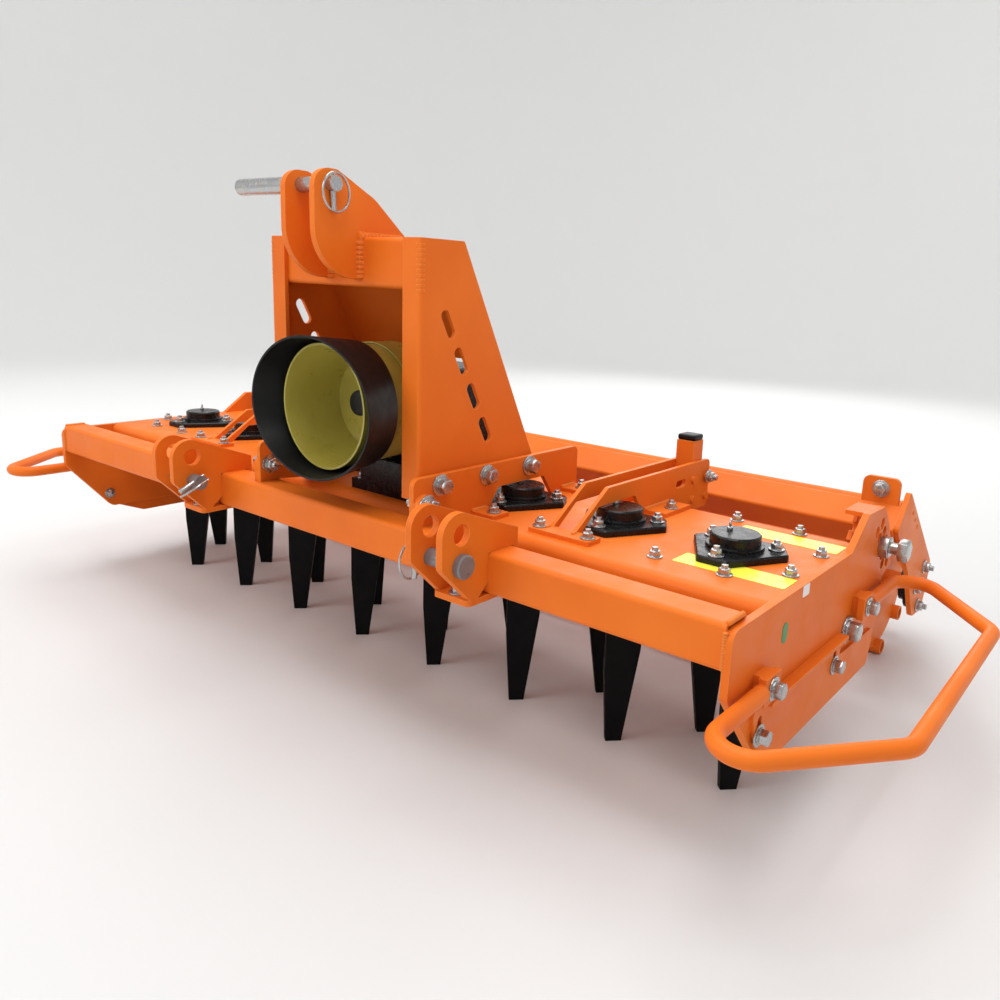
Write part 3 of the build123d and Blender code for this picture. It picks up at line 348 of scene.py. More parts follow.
def plated_finish(name, shade, tint, roughness, metal):
    finish, tree, shader, place = new_finish(name)
    drift = add_range(tree, add_noise(tree, place, scale=60.0), low=0.0, high=1.0)
    tree.links.new(add_blend(tree, drift, shade, tint), shader.inputs["Base Color"])
    shader.inputs["Metallic"].default_value = metal
    worn = add_wear(tree, place, scale=120.0, roughness=roughness, below=0.07, above=0.09)
    tree.links.new(worn, shader.inputs["Roughness"])
    grain = add_noise(tree, place, scale=500.0)
    skin = add_bump(tree, grain, strength=0.08, distance=0.0004, edge=0.0008)
    tree.links.new(skin, shader.inputs["Normal"])
    return finish


def plastic_finish(name, shade, deep, roughness, edge, gloss=0.5):
    finish, tree, shader, place = new_finish(name)
    drift = add_range(tree, add_noise(tree, place, scale=9.0), low=0.0, high=1.0)
    tree.links.new(add_blend(tree, drift, shade, deep), shader.inputs["Base Color"])
    worn = add_wear(tree, place, scale=40.0, roughness=roughness, below=0.05, above=0.08)
    tree.links.new(worn, shader.inputs["Roughness"])
    shader.inputs["Specular IOR Level"].default_value = gloss
    grain = add_noise(tree, place, scale=330.0)
    skin = add_bump(tree, grain, strength=0.1, distance=0.0005, edge=edge)
    tree.links.new(skin, shader.inputs["Normal"])
    return finish


print("kinds of finish: casting, plated, plastic")

# %% [markdown]
# ## Handing out the finishes
#
# The record gives each solid a slot, and each slot has one finish. The lower hitch pins are of darker,
# duller steel than the bright fasteners, so they get a finish of their own.

# %% The finishes
FINISHES = {
    "orange_paint": ORANGE_ENAMEL,
    "black_casting": casting_finish(
        "black_casting", (0.005, 0.005, 0.0055), grain=240.0, roughness=0.26, gloss=0.26),
    "tine_black": casting_finish(
        "tine_black", (0.0025, 0.0025, 0.0027), grain=160.0, roughness=0.46, gloss=0.09),
    "zinc_steel": plated_finish(
        "zinc_plate", (0.44, 0.46, 0.49), (0.48, 0.46, 0.42), roughness=0.22, metal=0.86),
    "bare_steel": plated_finish(
        "ground_steel", (0.42, 0.42, 0.43), (0.34, 0.33, 0.32), roughness=0.36, metal=0.9),
    "guard_yellow": plastic_finish(
        "guard_yellow", (0.42, 0.35, 0.065), (0.34, 0.275, 0.04), roughness=0.3, edge=0.001),
    "collar_black": plastic_finish(
        "collar_black", (0.004, 0.004, 0.004), (0.007, 0.007, 0.007),
        roughness=0.42, edge=0.001, gloss=0.22),
}
PIN_GREY = plated_finish(
    "pin_grey", (0.20, 0.215, 0.23), (0.26, 0.26, 0.26), roughness=0.34, metal=0.45)

for row in frame["record"]["subparts"]:
    node = frame["nodes"][row["node"]]
    node.data.materials.clear()
    node.data.materials.append(FINISHES[row["material_slot"]])
for name in ("hitch_pin_r", "hitch_pin_l"):
    frame["nodes"][name].data.materials[0] = PIN_GREY
print("finishes", len(FINISHES), "and", PIN_GREY.name)

# %% [markdown]
# ## Fasteners, modelled once
#
# Nuts and bolts come off the shelf, all alike, so each kind is modelled once. A washer is a cylinder with
# bevelled rims. A hex head starts as a six-sided cylinder whose top face is inset and lifted, which leaves
# the chamfer that a real head has.

# %% Discs and hexagons
HEX_INSET = 0.07
HEX_LIFT = 0.05
HEX_EDGE = 0.015
FACING_UP = 0.9


def add_disc(radius, low, high, sides=28, edge=0.0006):
    """Bevelled disc on the z axis between two heights."""
    bpy.ops.object.select_all(action="DESELECT")
    bpy.ops.mesh.primitive_cylinder_add(
        vertices=sides, radius=radius, depth=high - low, location=(0.0, 0.0, (low + high) / 2))
    disc = bpy.context.object
    bpy.ops.object.transform_apply(location=True)
    bevel = disc.modifiers.new("edge", "BEVEL")
    bevel.width = edge
    bevel.segments = 2
    bpy.ops.object.modifier_apply(modifier=bevel.name)
    return disc


def add_hex(across, low, high):
    """Hexagon with a chamfered top."""
    bpy.ops.object.select_all(action="DESELECT")
    bpy.ops.mesh.primitive_cylinder_add(
        vertices=6, radius=across / sqrt(3.0), depth=high - low, location=(0.0, 0.0, (low + high) / 2))
    block = bpy.context.object
    bpy.ops.object.transform_apply(location=True)
    bpy.ops.object.mode_set(mode="EDIT")
    bpy.ops.mesh.select_mode(type="FACE")
    bpy.ops.mesh.select_all(action="DESELECT")
    bpy.ops.object.mode_set(mode="OBJECT")
    for face in block.data.polygons:
        face.select = face.normal.z > FACING_UP
    bpy.ops.object.mode_set(mode="EDIT")
    bpy.ops.mesh.inset(thickness=across * HEX_INSET)
    bpy.ops.transform.translate(value=(0.0, 0.0, across * HEX_LIFT))
    bpy.ops.object.mode_set(mode="OBJECT")
    bevel = block.modifiers.new("edge", "BEVEL")
    bevel.width = across * HEX_EDGE
    bevel.segments = 2
    bpy.ops.object.modifier_apply(modifier=bevel.name)
    return block


print("hexagons are inset by", HEX_INSET, "of their width")

# %% [markdown]
# ## Threads and joining
#
# A stud end shows a few turns of thread. A helix would cost many faces for so small a thing, so one short
# ring with bevelled rims is repeated by an Array modifier. The finished parts of a fastener are joined,
# and their round faces are shaded smooth.

# %% Threads
THREAD_TURN = 0.3
THREAD_EDGE = 0.3
THREAD_SIDES = 20
SMOOTH_ANGLE = radians(32.0)


def only(piece):
    """Leaves one object selected and active."""
    bpy.ops.object.select_all(action="DESELECT")
    piece.select_set(True)
    bpy.context.view_layer.objects.active = piece


def add_thread(radius, low, high):
    """Stud end with turns of thread."""
    turn = radius * THREAD_TURN
    ring = add_disc(radius, low, low + turn, sides=THREAD_SIDES, edge=turn * THREAD_EDGE)
    only(ring)
    array = ring.modifiers.new("turns", "ARRAY")
    array.count = max(2, int((high - low) / turn))
    array.use_relative_offset = False
    array.use_constant_offset = True
    array.constant_offset_displace = (0.0, 0.0, turn)
    bpy.ops.object.modifier_apply(modifier=array.name)
    return ring


def join(pieces, name):
    bpy.ops.object.select_all(action="DESELECT")
    for piece in pieces:
        piece.select_set(True)
    bpy.context.view_layer.objects.active = pieces[0]
    if len(pieces) > 1:
        bpy.ops.object.join()
    whole = bpy.context.object
    whole.name = name
    bpy.ops.object.transform_apply(location=True, rotation=True, scale=True)
    bpy.ops.object.shade_smooth_by_angle(angle=SMOOTH_ANGLE)
    return whole


print("threads turn every", THREAD_TURN, "of their radius")

# %% [markdown]
# ## Nuts and bolts
#
# A flanged nut has a skirt that does the work of a washer, and its stud stands proud. A bolt sits on a
# flat washer and a spring washer. The proportions hang on the width across the flats, as in a fastener
# table, so that one function makes every size of its kind.

# %% Nut and bolt patterns
# shares of the width across the flats; the spring washer's top is a share of the flat washer's
NUT_HEIGHT = 0.62
NUT_START = 0.1
SKIRT_RADIUS = 0.78
SKIRT_HEIGHT = 0.14
STUD_RADIUS = 0.31
WASHER_RADIUS = 0.82
SPRING_RADIUS = 0.6
SPRING_TOP = 1.9
HEAD_HEIGHT = 0.55


def flange_nut(name, across, stud):
    """Flanged nut on a stud that stands proud by the given length."""
    height = across * NUT_HEIGHT
    skirt = add_disc(across * SKIRT_RADIUS, 0.0, across * SKIRT_HEIGHT)
    body = add_hex(across, across * NUT_START, height)
    thread = add_thread(across * STUD_RADIUS, height, height + stud)
    return join([skirt, body, thread], name)


def hex_bolt(name, across, washer):
    """Bolt head on a flat washer and a spring washer."""
    plate = add_disc(across * WASHER_RADIUS, 0.0, washer)
    spring = add_disc(across * SPRING_RADIUS, washer, washer * SPRING_TOP)
    head = add_hex(across, washer * SPRING_TOP, washer * SPRING_TOP + across * HEAD_HEIGHT)
    return join([plate, spring, head], name)


COVER_NUT = flange_nut("pattern_cover_nut", across=0.017, stud=0.007)
SIDE_NUT = flange_nut("pattern_side_nut", across=0.019, stud=0.010)
MAST_NUT = flange_nut("pattern_mast_nut", across=0.024, stud=0.009)
MAST_BOLT = hex_bolt("pattern_mast_bolt", across=0.024, washer=0.003)
HOOP_BOLT = hex_bolt("pattern_hoop_bolt", across=0.021, washer=0.0025)
PIVOT_BOLT = hex_bolt("pattern_pivot_bolt", across=0.030, washer=0.004)
for pattern in (COVER_NUT, SIDE_NUT, MAST_NUT, MAST_BOLT, HOOP_BOLT, PIVOT_BOLT):
    print(pattern.name, len(pattern.data.polygons), "faces")

# %% [markdown]
# ## Stamping a pattern
#
# A fitter doesn't line up the flats of a row of nuts, so each copy of a pattern is turned a little further
# than the one before it. The copies of one kind are joined to a single piece, which gets its finish and
# rides on the body that carries it.

# %% Stamping
UP = Vector((0.0, 0.0, 1.0))
TURN_STEP = radians(37.0)


def settle(piece, body, slot, finish=None):
    """Gives a finished piece its material and the body that carries it."""
    piece.data.materials.clear()
    piece.data.materials.append(finish or FINISHES[slot])
    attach(piece, body)
    print(piece.name, len(piece.data.polygons), "faces on", body)
    return piece


def stamp(pattern, name, body, spots):
    """One joined piece with a copy of the pattern at each spot, a place and a direction."""
    copies = []
    for i, (place, toward) in enumerate(spots):
        copy = pattern.copy()
        copy.data = pattern.data.copy()
        bpy.context.collection.objects.link(copy)
        lean = UP.rotation_difference(Vector(toward)).to_matrix().to_4x4()
        copy.matrix_world = Matrix.Translation(place) @ lean @ Matrix.Rotation(TURN_STEP * i, 4, "Z")
        copies.append(copy)
    return settle(join(copies, name), body, "zinc_steel")


print("each copy turns by", round(TURN_STEP, 3), "rad")

# %% [markdown]
# ## Nuts on the cover and the caps
#
# Flanged nuts hold the cover down along its front and rear edges and at both ends, and three more hold
# each bearing cap. The rows keep clear of the bracket feet, which have nuts of their own. Places are taken
# from the boxes of the solids, so that the nuts stay on the metal when a size changes.

# %% Cover and cap nuts
ROTORS = 8
EDGE_COLUMN = 0.021
COLUMN_STEPS = (-0.038, 0.091)
FRONT_INSET = 0.072
REAR_INSET = 0.028
UNDER_GEARBOX = 0.05
ROW_PLACES = (-0.824, -0.702, -0.334, 0.212, 0.702, 0.824)
CAP_BOLT_RADIUS = 0.067
CAP_BOLT_ANGLES = (30.0, 150.0, 270.0)
CAP_FLANGE = 0.012
cover_low, cover_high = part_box("trough_cover")
cover_top = cover_high.z
rotor_boxes = [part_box(f"rotor_{i + 1}") for i in range(ROTORS)]
rotor_places = [(low + high) / 2 for low, high in rotor_boxes]
rotor_y = rotor_places[0].y
drive_x = sum(v.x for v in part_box("gearbox")) / 2

cover_spots = []
for y in (cover_low.y + FRONT_INSET, cover_high.y - REAR_INSET):
    cover_spots += [((x, y, cover_top), UP) for x in ROW_PLACES]
for x in (cover_low.x + EDGE_COLUMN, cover_high.x - EDGE_COLUMN):
    cover_spots += [((x, rotor_y + step, cover_top), UP) for step in COLUMN_STEPS]
stamp(COVER_NUT, "cover_nuts", "frame", cover_spots)

capped_places = [place for place in rotor_places if abs(place.x - drive_x) > UNDER_GEARBOX]
cap_spots = []
for place in capped_places:
    for angle in CAP_BOLT_ANGLES:
        x = place.x + CAP_BOLT_RADIUS * cos(radians(angle))
        y = rotor_y + CAP_BOLT_RADIUS * sin(radians(angle))
        cap_spots.append(((x, y, cover_top + CAP_FLANGE), UP))
stamp(COVER_NUT, "cap_nuts", "frame", cap_spots)

# %% [markdown]
# ## Grease nipples
#
# Each cap has a nipple for the bearing under it: a small hexagon, a narrow neck and a ball end. The neck
# and the ball are one sphere. The vertices of its lower half are scaled, which draws them down and narrows
# them.

# %% Grease nipples
NIPPLE_ACROSS = 0.009
NIPPLE_HEX = 0.005
NIPPLE_BALL = 0.0034
NIPPLE_HEIGHT = 0.010
NECK_TOP = 0.0095
NECK_SCALE = (0.7, 0.7, 1.9)
NIPPLE_OFFSET = (-0.014, 0.006)


def grease_nipple():
    base = add_hex(NIPPLE_ACROSS, 0.0, NIPPLE_HEX)
    bpy.ops.object.select_all(action="DESELECT")
    bpy.ops.mesh.primitive_uv_sphere_add(
        segments=12, ring_count=8, radius=NIPPLE_BALL, location=(0.0, 0.0, NIPPLE_HEIGHT))
    ball = bpy.context.object
    bpy.ops.object.transform_apply(location=True)
    for vertex in ball.data.vertices:
        vertex.select = vertex.co.z < NECK_TOP
    bpy.ops.object.mode_set(mode="EDIT")
    bpy.ops.mesh.select_mode(type="VERT")
    bpy.ops.transform.resize(value=NECK_SCALE, center_override=(0.0, 0.0, NIPPLE_HEIGHT))
    bpy.ops.object.mode_set(mode="OBJECT")
    return join([base, ball], "pattern_nipple")


NIPPLE = grease_nipple()
cap_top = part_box("bearing_caps")[1].z
nipple_spots = []
for place in capped_places:
    nipple_spots.append(((place.x + NIPPLE_OFFSET[0], rotor_y + NIPPLE_OFFSET[1], cap_top), UP))
stamp(NIPPLE, "grease_nipples", "frame", nipple_spots)

# %% [markdown]
# ## Nuts on the bracket feet
#
# The headstock's base plates and the levelling brackets stand on welded feet, each held by its own nuts.

# %% Foot nuts
FOOT_SHEET = 0.008
BASE_FOOT_STEPS = (-0.120, 0.153)
BASE_FOOT_INSET = 0.018
LEVELLER_FOOT_STEPS = (-0.128, 0.150)
LEVELLER_FOOT_INSETS = (0.012, 0.014)

foot_spots = []
for name, side in (("mast_base_r", 1), ("mast_base_l", 0)):
    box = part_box(name)
    x = box[side].x - (2 * side - 1) * BASE_FOOT_INSET
    foot_spots += [((x, rotor_y + step, cover_top + FOOT_SHEET), UP) for step in BASE_FOOT_STEPS]
for side, insets in (("r", LEVELLER_FOOT_INSETS), ("l", LEVELLER_FOOT_INSETS[::-1])):
    low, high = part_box(f"leveller_bracket_{side}")
    for x in (low.x + insets[0], high.x - insets[1]):
        foot_spots += [((x, rotor_y + step, cover_top + FOOT_SHEET), UP) for step in LEVELLER_FOOT_STEPS]
stamp(COVER_NUT, "foot_nuts", "frame", foot_spots)

# %% [markdown]
# ## Gearbox nuts and breather
#
# Six nuts hold the gearbox's foot to the cover, and a breather plug stands on its roof: a hexagon with a
# rounded disc on top.

# %% Gearbox nuts and breather
GEARBOX_FOOT = 0.020
FOOT_NUT_STEP = 0.0715
FOOT_NUT_STEPS = (-0.146, -0.027, 0.092)
PLUG_ACROSS = 0.022
PLUG_HEX = 0.010
PLUG_DOME = (0.45 * PLUG_ACROSS, 0.009, 0.018)
PLUG_EDGE = 0.004
PLUG_STEP = 0.010
GEARBOX_ROOF = 0.621

gearbox_spots = []
for side in (-1, 1):
    x = drive_x + side * FOOT_NUT_STEP
    gearbox_spots += [((x, rotor_y + step, cover_top + GEARBOX_FOOT), UP) for step in FOOT_NUT_STEPS]
stamp(COVER_NUT, "gearbox_nuts", "frame", gearbox_spots)

plug_hex = add_hex(PLUG_ACROSS, 0.0, PLUG_HEX)
plug_dome = add_disc(*PLUG_DOME, edge=PLUG_EDGE)
PLUG = join([plug_hex, plug_dome], "pattern_plug")
stamp(PLUG, "gearbox_breather", "frame", [((drive_x, rotor_y + PLUG_STEP, GEARBOX_ROOF), UP)])

# %% [markdown]
# ## Bolts through the headstock
#
# Three large bolts clamp each base plate to its upright, and a lower one ties it to the lug on the beam.
# Heads with washers face outwards and nuts face inwards. One list of places, mirrored across the drive
# line, serves both sides.

# %% Headstock bolts
BASE_BOLTS = ((-0.432, 0.440), (-0.313, 0.440), (-0.190, 0.440))
LUG_BOLT = (-0.473, 0.412)
BASE_FOOT = 0.052
LUG_SHEET = 0.010
MAST_CHEEK = 0.008
base_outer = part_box("mast_base_r")[1].x - BASE_FOOT
base_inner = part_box("mast_upright_r")[1].x + LUG_SHEET
cheek_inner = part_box("mast_upright_r")[1].x - MAST_CHEEK


def both_sides(x, y, z, toward):
    """A spot and its mirror image across the drive line."""
    return [((x, y, z), (toward, 0, 0)), ((2 * drive_x - x, y, z), (-toward, 0, 0))]


head_spots = []
inner_spots = []
for y, z in BASE_BOLTS:
    head_spots += both_sides(base_outer, y, z, 1)
    inner_spots += both_sides(cheek_inner, y, z, -1)
head_spots += both_sides(base_outer + LUG_SHEET, *LUG_BOLT, 1)
inner_spots += both_sides(base_inner, *LUG_BOLT, -1)
stamp(MAST_BOLT, "mast_bolts", "frame", head_spots)
stamp(MAST_NUT, "mast_nuts", "frame", inner_spots)

# %% [markdown]
# ## Bolts at the ends of the machine
#
# The guard hoops, the deflectors and the roller pivots are bolted to the side plates. Each spot is given
# for the right side and mirrored across the middle.

# %% Side bolts
HOOP_STEPS = (-0.205, 0.205)
TONGUE = 0.022
DEFLECTOR_SHEET = 0.006
DEFLECTOR_BOLTS = ((-0.409, 0.186), (-0.1065, 0.186))
PIVOT = (-0.0445, 0.229)
SIDE_SHEET = 0.012
side_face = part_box("side_plate_r")[1].x
side_inner = side_face - SIDE_SHEET
hoop_z = sum(v.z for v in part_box("guard_hoop_r")) / 2


def both_ends(x, y, z, toward):
    """A spot and its mirror image across the middle of the machine."""
    return [((x, y, z), (toward, 0, 0)), ((-x, y, z), (-toward, 0, 0))]


hoop_spots = []
for step in HOOP_STEPS:
    hoop_spots += both_ends(side_face + TONGUE, rotor_y + step, hoop_z, 1)
for y, z in DEFLECTOR_BOLTS:
    hoop_spots += both_ends(side_face + DEFLECTOR_SHEET, y, z, 1)
stamp(HOOP_BOLT, "side_bolts", "frame", hoop_spots)

back_spots = []
for y, z in DEFLECTOR_BOLTS:
    back_spots += both_ends(side_inner, y, z, -1)
stamp(COVER_NUT, "deflector_nuts", "frame", back_spots)
stamp(PIVOT_BOLT, "pivot_bolts", "frame", both_ends(side_face, *PIVOT, 1))

# %% [markdown]
# ## Depth pins
#
# The pins that limit the roller's swing are long bolts: a hexagon at the end and a nut run down to the
# plate. Each is a plain hexagon set round the solid pin.

# %% Depth pin hexagons
PIN_HEX = 0.037
PIN_NUT = 0.016
PIN_HEAD = 0.013
PIN_SPOT = (0.105, 0.346)
pin_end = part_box("depth_pins")[1].x

PIN_NUT_SHAPE = join([add_hex(PIN_HEX, 0.0, PIN_NUT)], "pattern_pin_nut")
pin_spots = both_ends(side_face, *PIN_SPOT, 1)
pin_spots += both_ends(pin_end - PIN_HEAD, *PIN_SPOT, 1)
stamp(PIN_NUT_SHAPE, "depth_pin_hexagons", "frame", pin_spots)

# %% [markdown]
# ## Bolts on the roller frame
#
# The stops on the rear beam each carry a bolt that faces forwards, and four nuts hold each roller bearing
# to its end plate. These ride on the roller frame, which swings with the depth setting.

# %% Roller bolts
STOP_BOLT_Z = 0.424
STOP_STEP = 0.002
STOP_INSET = 0.044
BEARING_BOLT_RADIUS = 0.043
BEARING_BOLT_ANGLES = (80.0, 170.0, 260.0, 350.0)
rear_low, rear_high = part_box("roller_beam")
stop_face = (rear_low.y + rear_high.y) / 2 - STOP_STEP
stop_x = rear_high.x - STOP_INSET
end_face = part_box("roller_end_r")[1].x
roller_middle = sum(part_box("roller"), Vector()) / 2

bearing_spots = []
for angle in BEARING_BOLT_ANGLES:
    y = roller_middle.y + BEARING_BOLT_RADIUS * cos(radians(angle))
    z = roller_middle.z + BEARING_BOLT_RADIUS * sin(radians(angle))
    bearing_spots += both_ends(end_face, y, z, 1)
stamp(SIDE_NUT, "bearing_nuts", "roller_frame", bearing_spots)
stop_spots = [((side * stop_x, stop_face, STOP_BOLT_Z), (0, -1, 0)) for side in (-1, 1)]
stamp(HOOP_BOLT, "stop_bolts", "roller_frame", stop_spots)

# %% [markdown]
# ## Clamp bolts and leveller bolts
#
# A bolt draws each hitch strap up against the beam, and bolts with nuts close the guides that the
# levelling bar's posts slide between.

# %% Clamp and leveller bolts
CLAMP_STEP = 0.026
LEVELLER_POST = 0.5225
GUIDE_FACE = 0.0343
GUIDE_STEP = 0.0283
GUIDE_Z = 0.406
POST_Y = 0.1105
beam_low, beam_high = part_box("front_beam")

clamp_spots = []
for side in ("r", "l"):
    bracket = sum(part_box(f"hitch_bracket_{side}"), Vector()) / 2
    clamp_spots.append(((bracket.x, beam_low.y - CLAMP_STEP, beam_low.z), UP))
stamp(SIDE_NUT, "clamp_nuts", "frame", clamp_spots)

guide_spots = both_ends(LEVELLER_POST + GUIDE_FACE, POST_Y + GUIDE_STEP, GUIDE_Z, 1)
guide_spots += both_ends(LEVELLER_POST - GUIDE_FACE, POST_Y + GUIDE_STEP, GUIDE_Z, -1)
stamp(SIDE_NUT, "guide_nuts", "frame", guide_spots)

# %% [markdown]
# ## Linchpins
#
# A linchpin is a short bar through the end of a hitch pin with a sprung ring that snaps round it. The bar
# is a bevelled cylinder, the ring a torus pulled into a slight oval. Two directions place each one: where
# its bar points and where its ring faces.

# %% Linchpins
LINCH_BAR = (0.0048, 0.058)
LINCH_RING = (0.031, 0.0021)
LINCH_DROP = 0.014
LINCH_LEVELS = (-0.007, 0.002)
LINCH_EDGE = 0.0015
LINCH_OVAL = (1.0, 0.86, 1.0)
LINCH_INSET = 0.004


def linchpin():
    bpy.ops.object.select_all(action="DESELECT")
    bpy.ops.mesh.primitive_cylinder_add(
        vertices=16, radius=LINCH_BAR[0], depth=LINCH_BAR[1], location=(LINCH_DROP, 0.0, LINCH_LEVELS[0]),
        rotation=(0.0, radians(90.0), 0.0))
    bar = bpy.context.object
    bevel = bar.modifiers.new("edge", "BEVEL")
    bevel.width = LINCH_EDGE
    bevel.segments = 2
    bpy.ops.object.modifier_apply(modifier=bevel.name)
    bpy.ops.mesh.primitive_torus_add(
        major_segments=40, minor_segments=8, major_radius=LINCH_RING[0], minor_radius=LINCH_RING[1],
        location=(LINCH_DROP, 0.0, LINCH_LEVELS[1]))
    ring = bpy.context.object
    bpy.ops.object.mode_set(mode="EDIT")
    bpy.ops.mesh.select_all(action="SELECT")
    bpy.ops.transform.resize(value=LINCH_OVAL, center_override=(0.0, 0.0, 0.0))
    bpy.ops.object.mode_set(mode="OBJECT")
    return join([bar, ring], "linchpin")


def hang(pin, place, along, facing):
    """Turns a linchpin so that its bar points along one direction and its ring faces another."""
    x = Vector(along).normalized()
    z = (Vector(facing) - Vector(facing).dot(x) * x).normalized()
    matrix = Matrix((x, z.cross(x), z)).transposed().to_4x4()
    matrix.translation = place
    pin.matrix_world = matrix
    return pin


top_low, top_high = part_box("top_link_pin")
right_low, right_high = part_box("hitch_pin_r")
left_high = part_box("hitch_pin_l")[1]
top_middle = (top_low + top_high) / 2
hitch_middle = (right_low + right_high) / 2
# pin's end, direction of the bar, direction that the ring faces
LINCHPINS = (
    ((top_high.x - LINCH_INSET, top_middle.y, top_middle.z), (0, 0.05, -1), (1, 0, 0)),
    ((right_low.x + LINCH_INSET, hitch_middle.y, hitch_middle.z), (0, -0.15, -1), (-1, 0, 0.1)),
    ((left_high.x - LINCH_INSET, hitch_middle.y, hitch_middle.z), (0, -0.9, -0.43), (0.34, 0.37, -0.77)),
)
settle(join([hang(linchpin(), *row) for row in LINCHPINS], "linchpins"), "frame", "zinc_steel")

# %% [markdown]
# ## Weld beads
#
# A weld is a row of overlapping ripples. One squashed sphere is repeated along the seam by an Array
# modifier and laid in the corner between two plates. The seams are painted with the rest of the steel.

# %% Weld beads
BEAD = 0.0045
MAST_BEAD = 0.0095
BEAD_STEP = 0.85
BEAD_SQUASH = (1.0, 1.0, 0.62)
EAR_SHEET = 0.012
EAR_LIFT = 0.004


def add_bead(start, end, radius):
    """Row of ripples from one point to another."""
    start, end = Vector(start), Vector(end)
    bpy.ops.object.select_all(action="DESELECT")
    bpy.ops.mesh.primitive_uv_sphere_add(segments=8, ring_count=5, radius=radius)
    bead = bpy.context.object
    bpy.ops.object.mode_set(mode="EDIT")
    bpy.ops.mesh.select_all(action="SELECT")
    bpy.ops.transform.resize(value=BEAD_SQUASH)
    bpy.ops.object.mode_set(mode="OBJECT")
    step = BEAD_STEP * radius
    array = bead.modifiers.new("seam", "ARRAY")
    array.count = int((end - start).length / step)
    array.use_relative_offset = False
    array.use_constant_offset = True
    array.constant_offset_displace = (0.0, 0.0, step)
    bpy.ops.object.modifier_apply(modifier=array.name)
    lean = UP.rotation_difference(end - start).to_matrix().to_4x4()
    bead.matrix_world = Matrix.Translation(start) @ lean
    return bead


def add_seams(name, body, seams, radius=BEAD):
    beads = [add_bead(start, end, radius) for start, end in seams]
    return settle(join(beads, name), body, "orange_paint")


bar_low, bar_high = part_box("mast_crossbar")
ear_low, ear_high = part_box("top_link_ears")
mast_seams = []
for x in (ear_low.x, ear_low.x + EAR_SHEET, ear_high.x - EAR_SHEET, ear_high.x):
    mast_seams.append(((x, bar_low.y, ear_low.z + EAR_LIFT), (x, bar_low.y, bar_high.z)))
    mast_seams.append(((x, bar_low.y, bar_high.z), (x, ear_high.y, bar_high.z)))
for x in (bar_low.x, bar_high.x):
    mast_seams.append(((x, bar_low.y, bar_low.z), (x, bar_low.y, bar_high.z)))
add_seams("mast_seams", "frame", mast_seams, MAST_BEAD)

# %% [markdown]
# ## Seams on the beam and the feet
#
# The beam is welded to the side plates all round, and the plates that stand on feet have a seam along the
# foot.

# %% Beam and foot seams
SEAM_INSET = 0.006
BASE_SEAMS = ((-0.140, -0.100), (0.130, 0.176))
GUIDE_SEAMS = ((-0.126, -0.112), (0.106, 0.198))
GUIDE_REACH = 0.0283
foot_z = cover_top + FOOT_SHEET


def foot_seams(x, stretches):
    """Seams along a plate's foot, each a stretch before or behind the rotors."""
    return [((x, rotor_y + start, foot_z), (x, rotor_y + end, foot_z)) for start, end in stretches]


beam_seams = []
for x in (beam_low.x, beam_high.x):
    bottom, top = beam_low.z + SEAM_INSET, beam_high.z - SEAM_INSET
    front, rear = beam_low.y + SEAM_INSET, beam_high.y - SEAM_INSET
    beam_seams.append(((x, beam_low.y, bottom), (x, beam_low.y, top)))
    beam_seams.append(((x, front, beam_high.z), (x, rear, beam_high.z)))
for x in (base_outer, 2 * drive_x - base_outer):
    beam_seams += foot_seams(x, BASE_SEAMS)
for side in (-1, 1):
    for reach in (-GUIDE_REACH, GUIDE_REACH):
        beam_seams += foot_seams(side * LEVELLER_POST + reach, GUIDE_SEAMS)
add_seams("beam_seams", "frame", beam_seams)

# %% [markdown]
# ## Caps on the posts and the shaft
#
# The levelling posts are closed by black plastic caps, and a cap over the end of the splined shaft keeps
# dirt off. The post cap is a cube scaled to the post and bevelled all round. The shaft cap is a cylinder
# with rounded rims.

# %% Plastic caps
POST_HALF = 0.020
POST_CAP = 0.012
POST_EDGE = 0.004
SHAFT_CAP_RADIUS = 0.024
SHAFT_CAP_LENGTH = 0.034
SHAFT_CAP_EDGE = 0.005
SHAFT_CAP_PROUD = 0.004
post_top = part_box("leveller_bar")[1].z


def post_cap(x):
    bpy.ops.object.select_all(action="DESELECT")
    bpy.ops.mesh.primitive_cube_add(size=2.0, location=(x, POST_Y, post_top + POST_CAP / 2))
    cap = bpy.context.object
    cap.scale = (POST_HALF, POST_HALF, POST_CAP / 2)
    bpy.ops.object.transform_apply(location=True, scale=True)
    bevel = cap.modifiers.new("edge", "BEVEL")
    bevel.width = POST_EDGE
    bevel.segments = 3
    bpy.ops.object.modifier_apply(modifier=bevel.name)
    return cap


settle(join([post_cap(-LEVELLER_POST), post_cap(LEVELLER_POST)], "post_caps"), "leveller", "collar_black")

shaft_low, shaft_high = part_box("pto_shaft")
shaft_middle = (shaft_low + shaft_high) / 2
shaft_cap = add_disc(SHAFT_CAP_RADIUS, 0.0, SHAFT_CAP_LENGTH, sides=40, edge=SHAFT_CAP_EDGE)
cap_y = shaft_low.y + SHAFT_CAP_LENGTH - SHAFT_CAP_PROUD
shaft_cap.matrix_world = (
    Matrix.Translation((shaft_middle.x, cap_y, shaft_middle.z))
    @ Matrix.Rotation(radians(90.0), 4, "X")
)
settle(join([shaft_cap], "shaft_cap"), "pto_input", "collar_black")

# %% [markdown]
# ## Flap in the guard
#
# Behind the collar the yellow guard has a flap, through which the shaft's lock is reached. An open
# cylinder just outside the guard is cut down by bisect to the stretch that the flap covers, and Solidify
# gives it the thickness of the moulding.

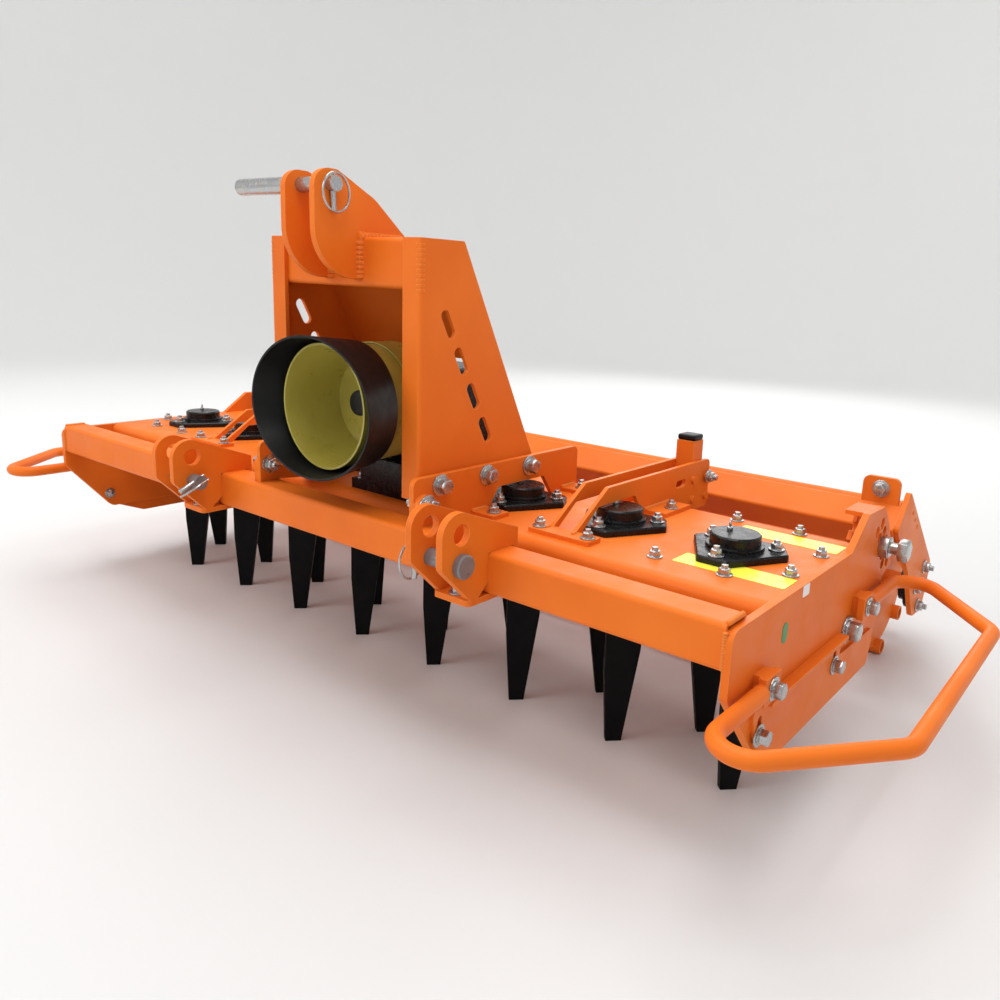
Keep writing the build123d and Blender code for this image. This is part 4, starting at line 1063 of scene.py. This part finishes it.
# %% Guard flap
FLAP_SHEET = 0.0025
FLAP_FRONT = 0.112
FLAP_REAR = 0.168
FLAP_SIDE = radians(35.0)
FLAP_SINK = 0.003
guard_low, guard_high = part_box("pto_guard_cone")
guard_middle = (guard_low + guard_high) / 2
guard_radius = (guard_high.z - guard_low.z) / 2 - FLAP_SINK


def cut_away(normal):
    """Removes what lies beyond a plane through the guard's axis."""
    bpy.ops.mesh.select_all(action="SELECT")
    bpy.ops.mesh.bisect(plane_co=guard_middle, plane_no=normal, clear_outer=True)


def guard_flap():
    bpy.ops.object.select_all(action="DESELECT")
    bpy.ops.mesh.primitive_cylinder_add(
        vertices=96, radius=guard_radius, depth=FLAP_REAR - FLAP_FRONT, end_fill_type="NOTHING",
        location=(guard_middle.x, guard_low.y + (FLAP_FRONT + FLAP_REAR) / 2, guard_middle.z),
        rotation=(radians(90.0), 0.0, 0.0))
    flap = bpy.context.object
    bpy.ops.object.transform_apply(location=True, rotation=True)
    bpy.ops.object.mode_set(mode="EDIT")
    cut_away((-cos(FLAP_SIDE), 0.0, -sin(FLAP_SIDE)))
    cut_away((0.0, 0.0, -1.0))
    bpy.ops.object.mode_set(mode="OBJECT")
    shell = flap.modifiers.new("sheet", "SOLIDIFY")
    shell.thickness = FLAP_SHEET
    shell.offset = 1.0
    bpy.ops.object.modifier_apply(modifier=shell.name)
    return join([flap], "guard_flap")


settle(guard_flap(), "frame", "guard_yellow")

# %% [markdown]
# ## Bare strips and spots
#
# Two blank yellow strips lie on the cover, and a small white plate and a green spot on the right side
# plate. Each is a plane whose corners are rounded by a vertex bevel and which is then extruded by the
# thickness of a film. The spot's corners are rounded until they nearly meet, which makes it an oval.

# %% Strips and spots
FILM = 0.0006
FILM_CORNER = 0.003
SPOT_CORNER = 0.48
FILM_ROUND = 0.0003
STRIP_YELLOW = plastic_finish("strip_yellow", (0.95, 0.86, 0.06), (0.90, 0.80, 0.05), 0.3, FILM_ROUND)
LABEL_WHITE = plastic_finish("label_white", (0.85, 0.85, 0.84), (0.78, 0.78, 0.77), 0.35, FILM_ROUND)
DOT_GREEN = plastic_finish("dot_green", (0.02, 0.24, 0.05), (0.016, 0.20, 0.04), 0.35, FILM_ROUND)
# name, finish, centre, size, turn about y
FILMS = (
    ("front_strip", STRIP_YELLOW, (0.824, -0.289, cover_top), (0.187, 0.052), 0.0),
    ("rear_strip", STRIP_YELLOW, (0.822, -0.064, cover_top), (0.187, 0.052), 0.0),
    ("white_plate", LABEL_WHITE, (side_face, -0.266, 0.361), (0.018, 0.026), 90.0),
    ("green_spot", DOT_GREEN, (side_face, -0.335, 0.3145), (0.032, 0.019), 90.0),
)


def add_film(name, finish, centre, size, turn):
    bpy.ops.object.select_all(action="DESELECT")
    bpy.ops.mesh.primitive_plane_add(size=1.0)
    film = bpy.context.object
    film.name = name
    film.scale = (*size, 1.0)
    bpy.ops.object.transform_apply(scale=True)
    bpy.ops.object.mode_set(mode="EDIT")
    bpy.ops.mesh.select_all(action="SELECT")
    round_off = SPOT_CORNER * min(size) if name.endswith("spot") else FILM_CORNER
    bpy.ops.mesh.bevel(offset=round_off, segments=6, affect="VERTICES")
    bpy.ops.mesh.select_all(action="SELECT")
    bpy.ops.mesh.extrude_region_move(TRANSFORM_OT_translate={"value": (0.0, 0.0, FILM)})
    bpy.ops.object.mode_set(mode="OBJECT")
    film.matrix_world = Matrix.Translation(centre) @ Matrix.Rotation(radians(turn), 4, "Y")
    return settle(join([film], name), "frame", "orange_paint", finish)


for row in FILMS:
    add_film(*row)

# %% [markdown]
# ## Clearing up
#
# The pattern pieces have done their work and are removed.

# %% Finish
nut_patterns = (COVER_NUT, SIDE_NUT, MAST_NUT, PIN_NUT_SHAPE)
other_patterns = (MAST_BOLT, HOOP_BOLT, PIVOT_BOLT, NIPPLE, PLUG)
for pattern in nut_patterns + other_patterns:
    bpy.data.objects.remove(pattern)
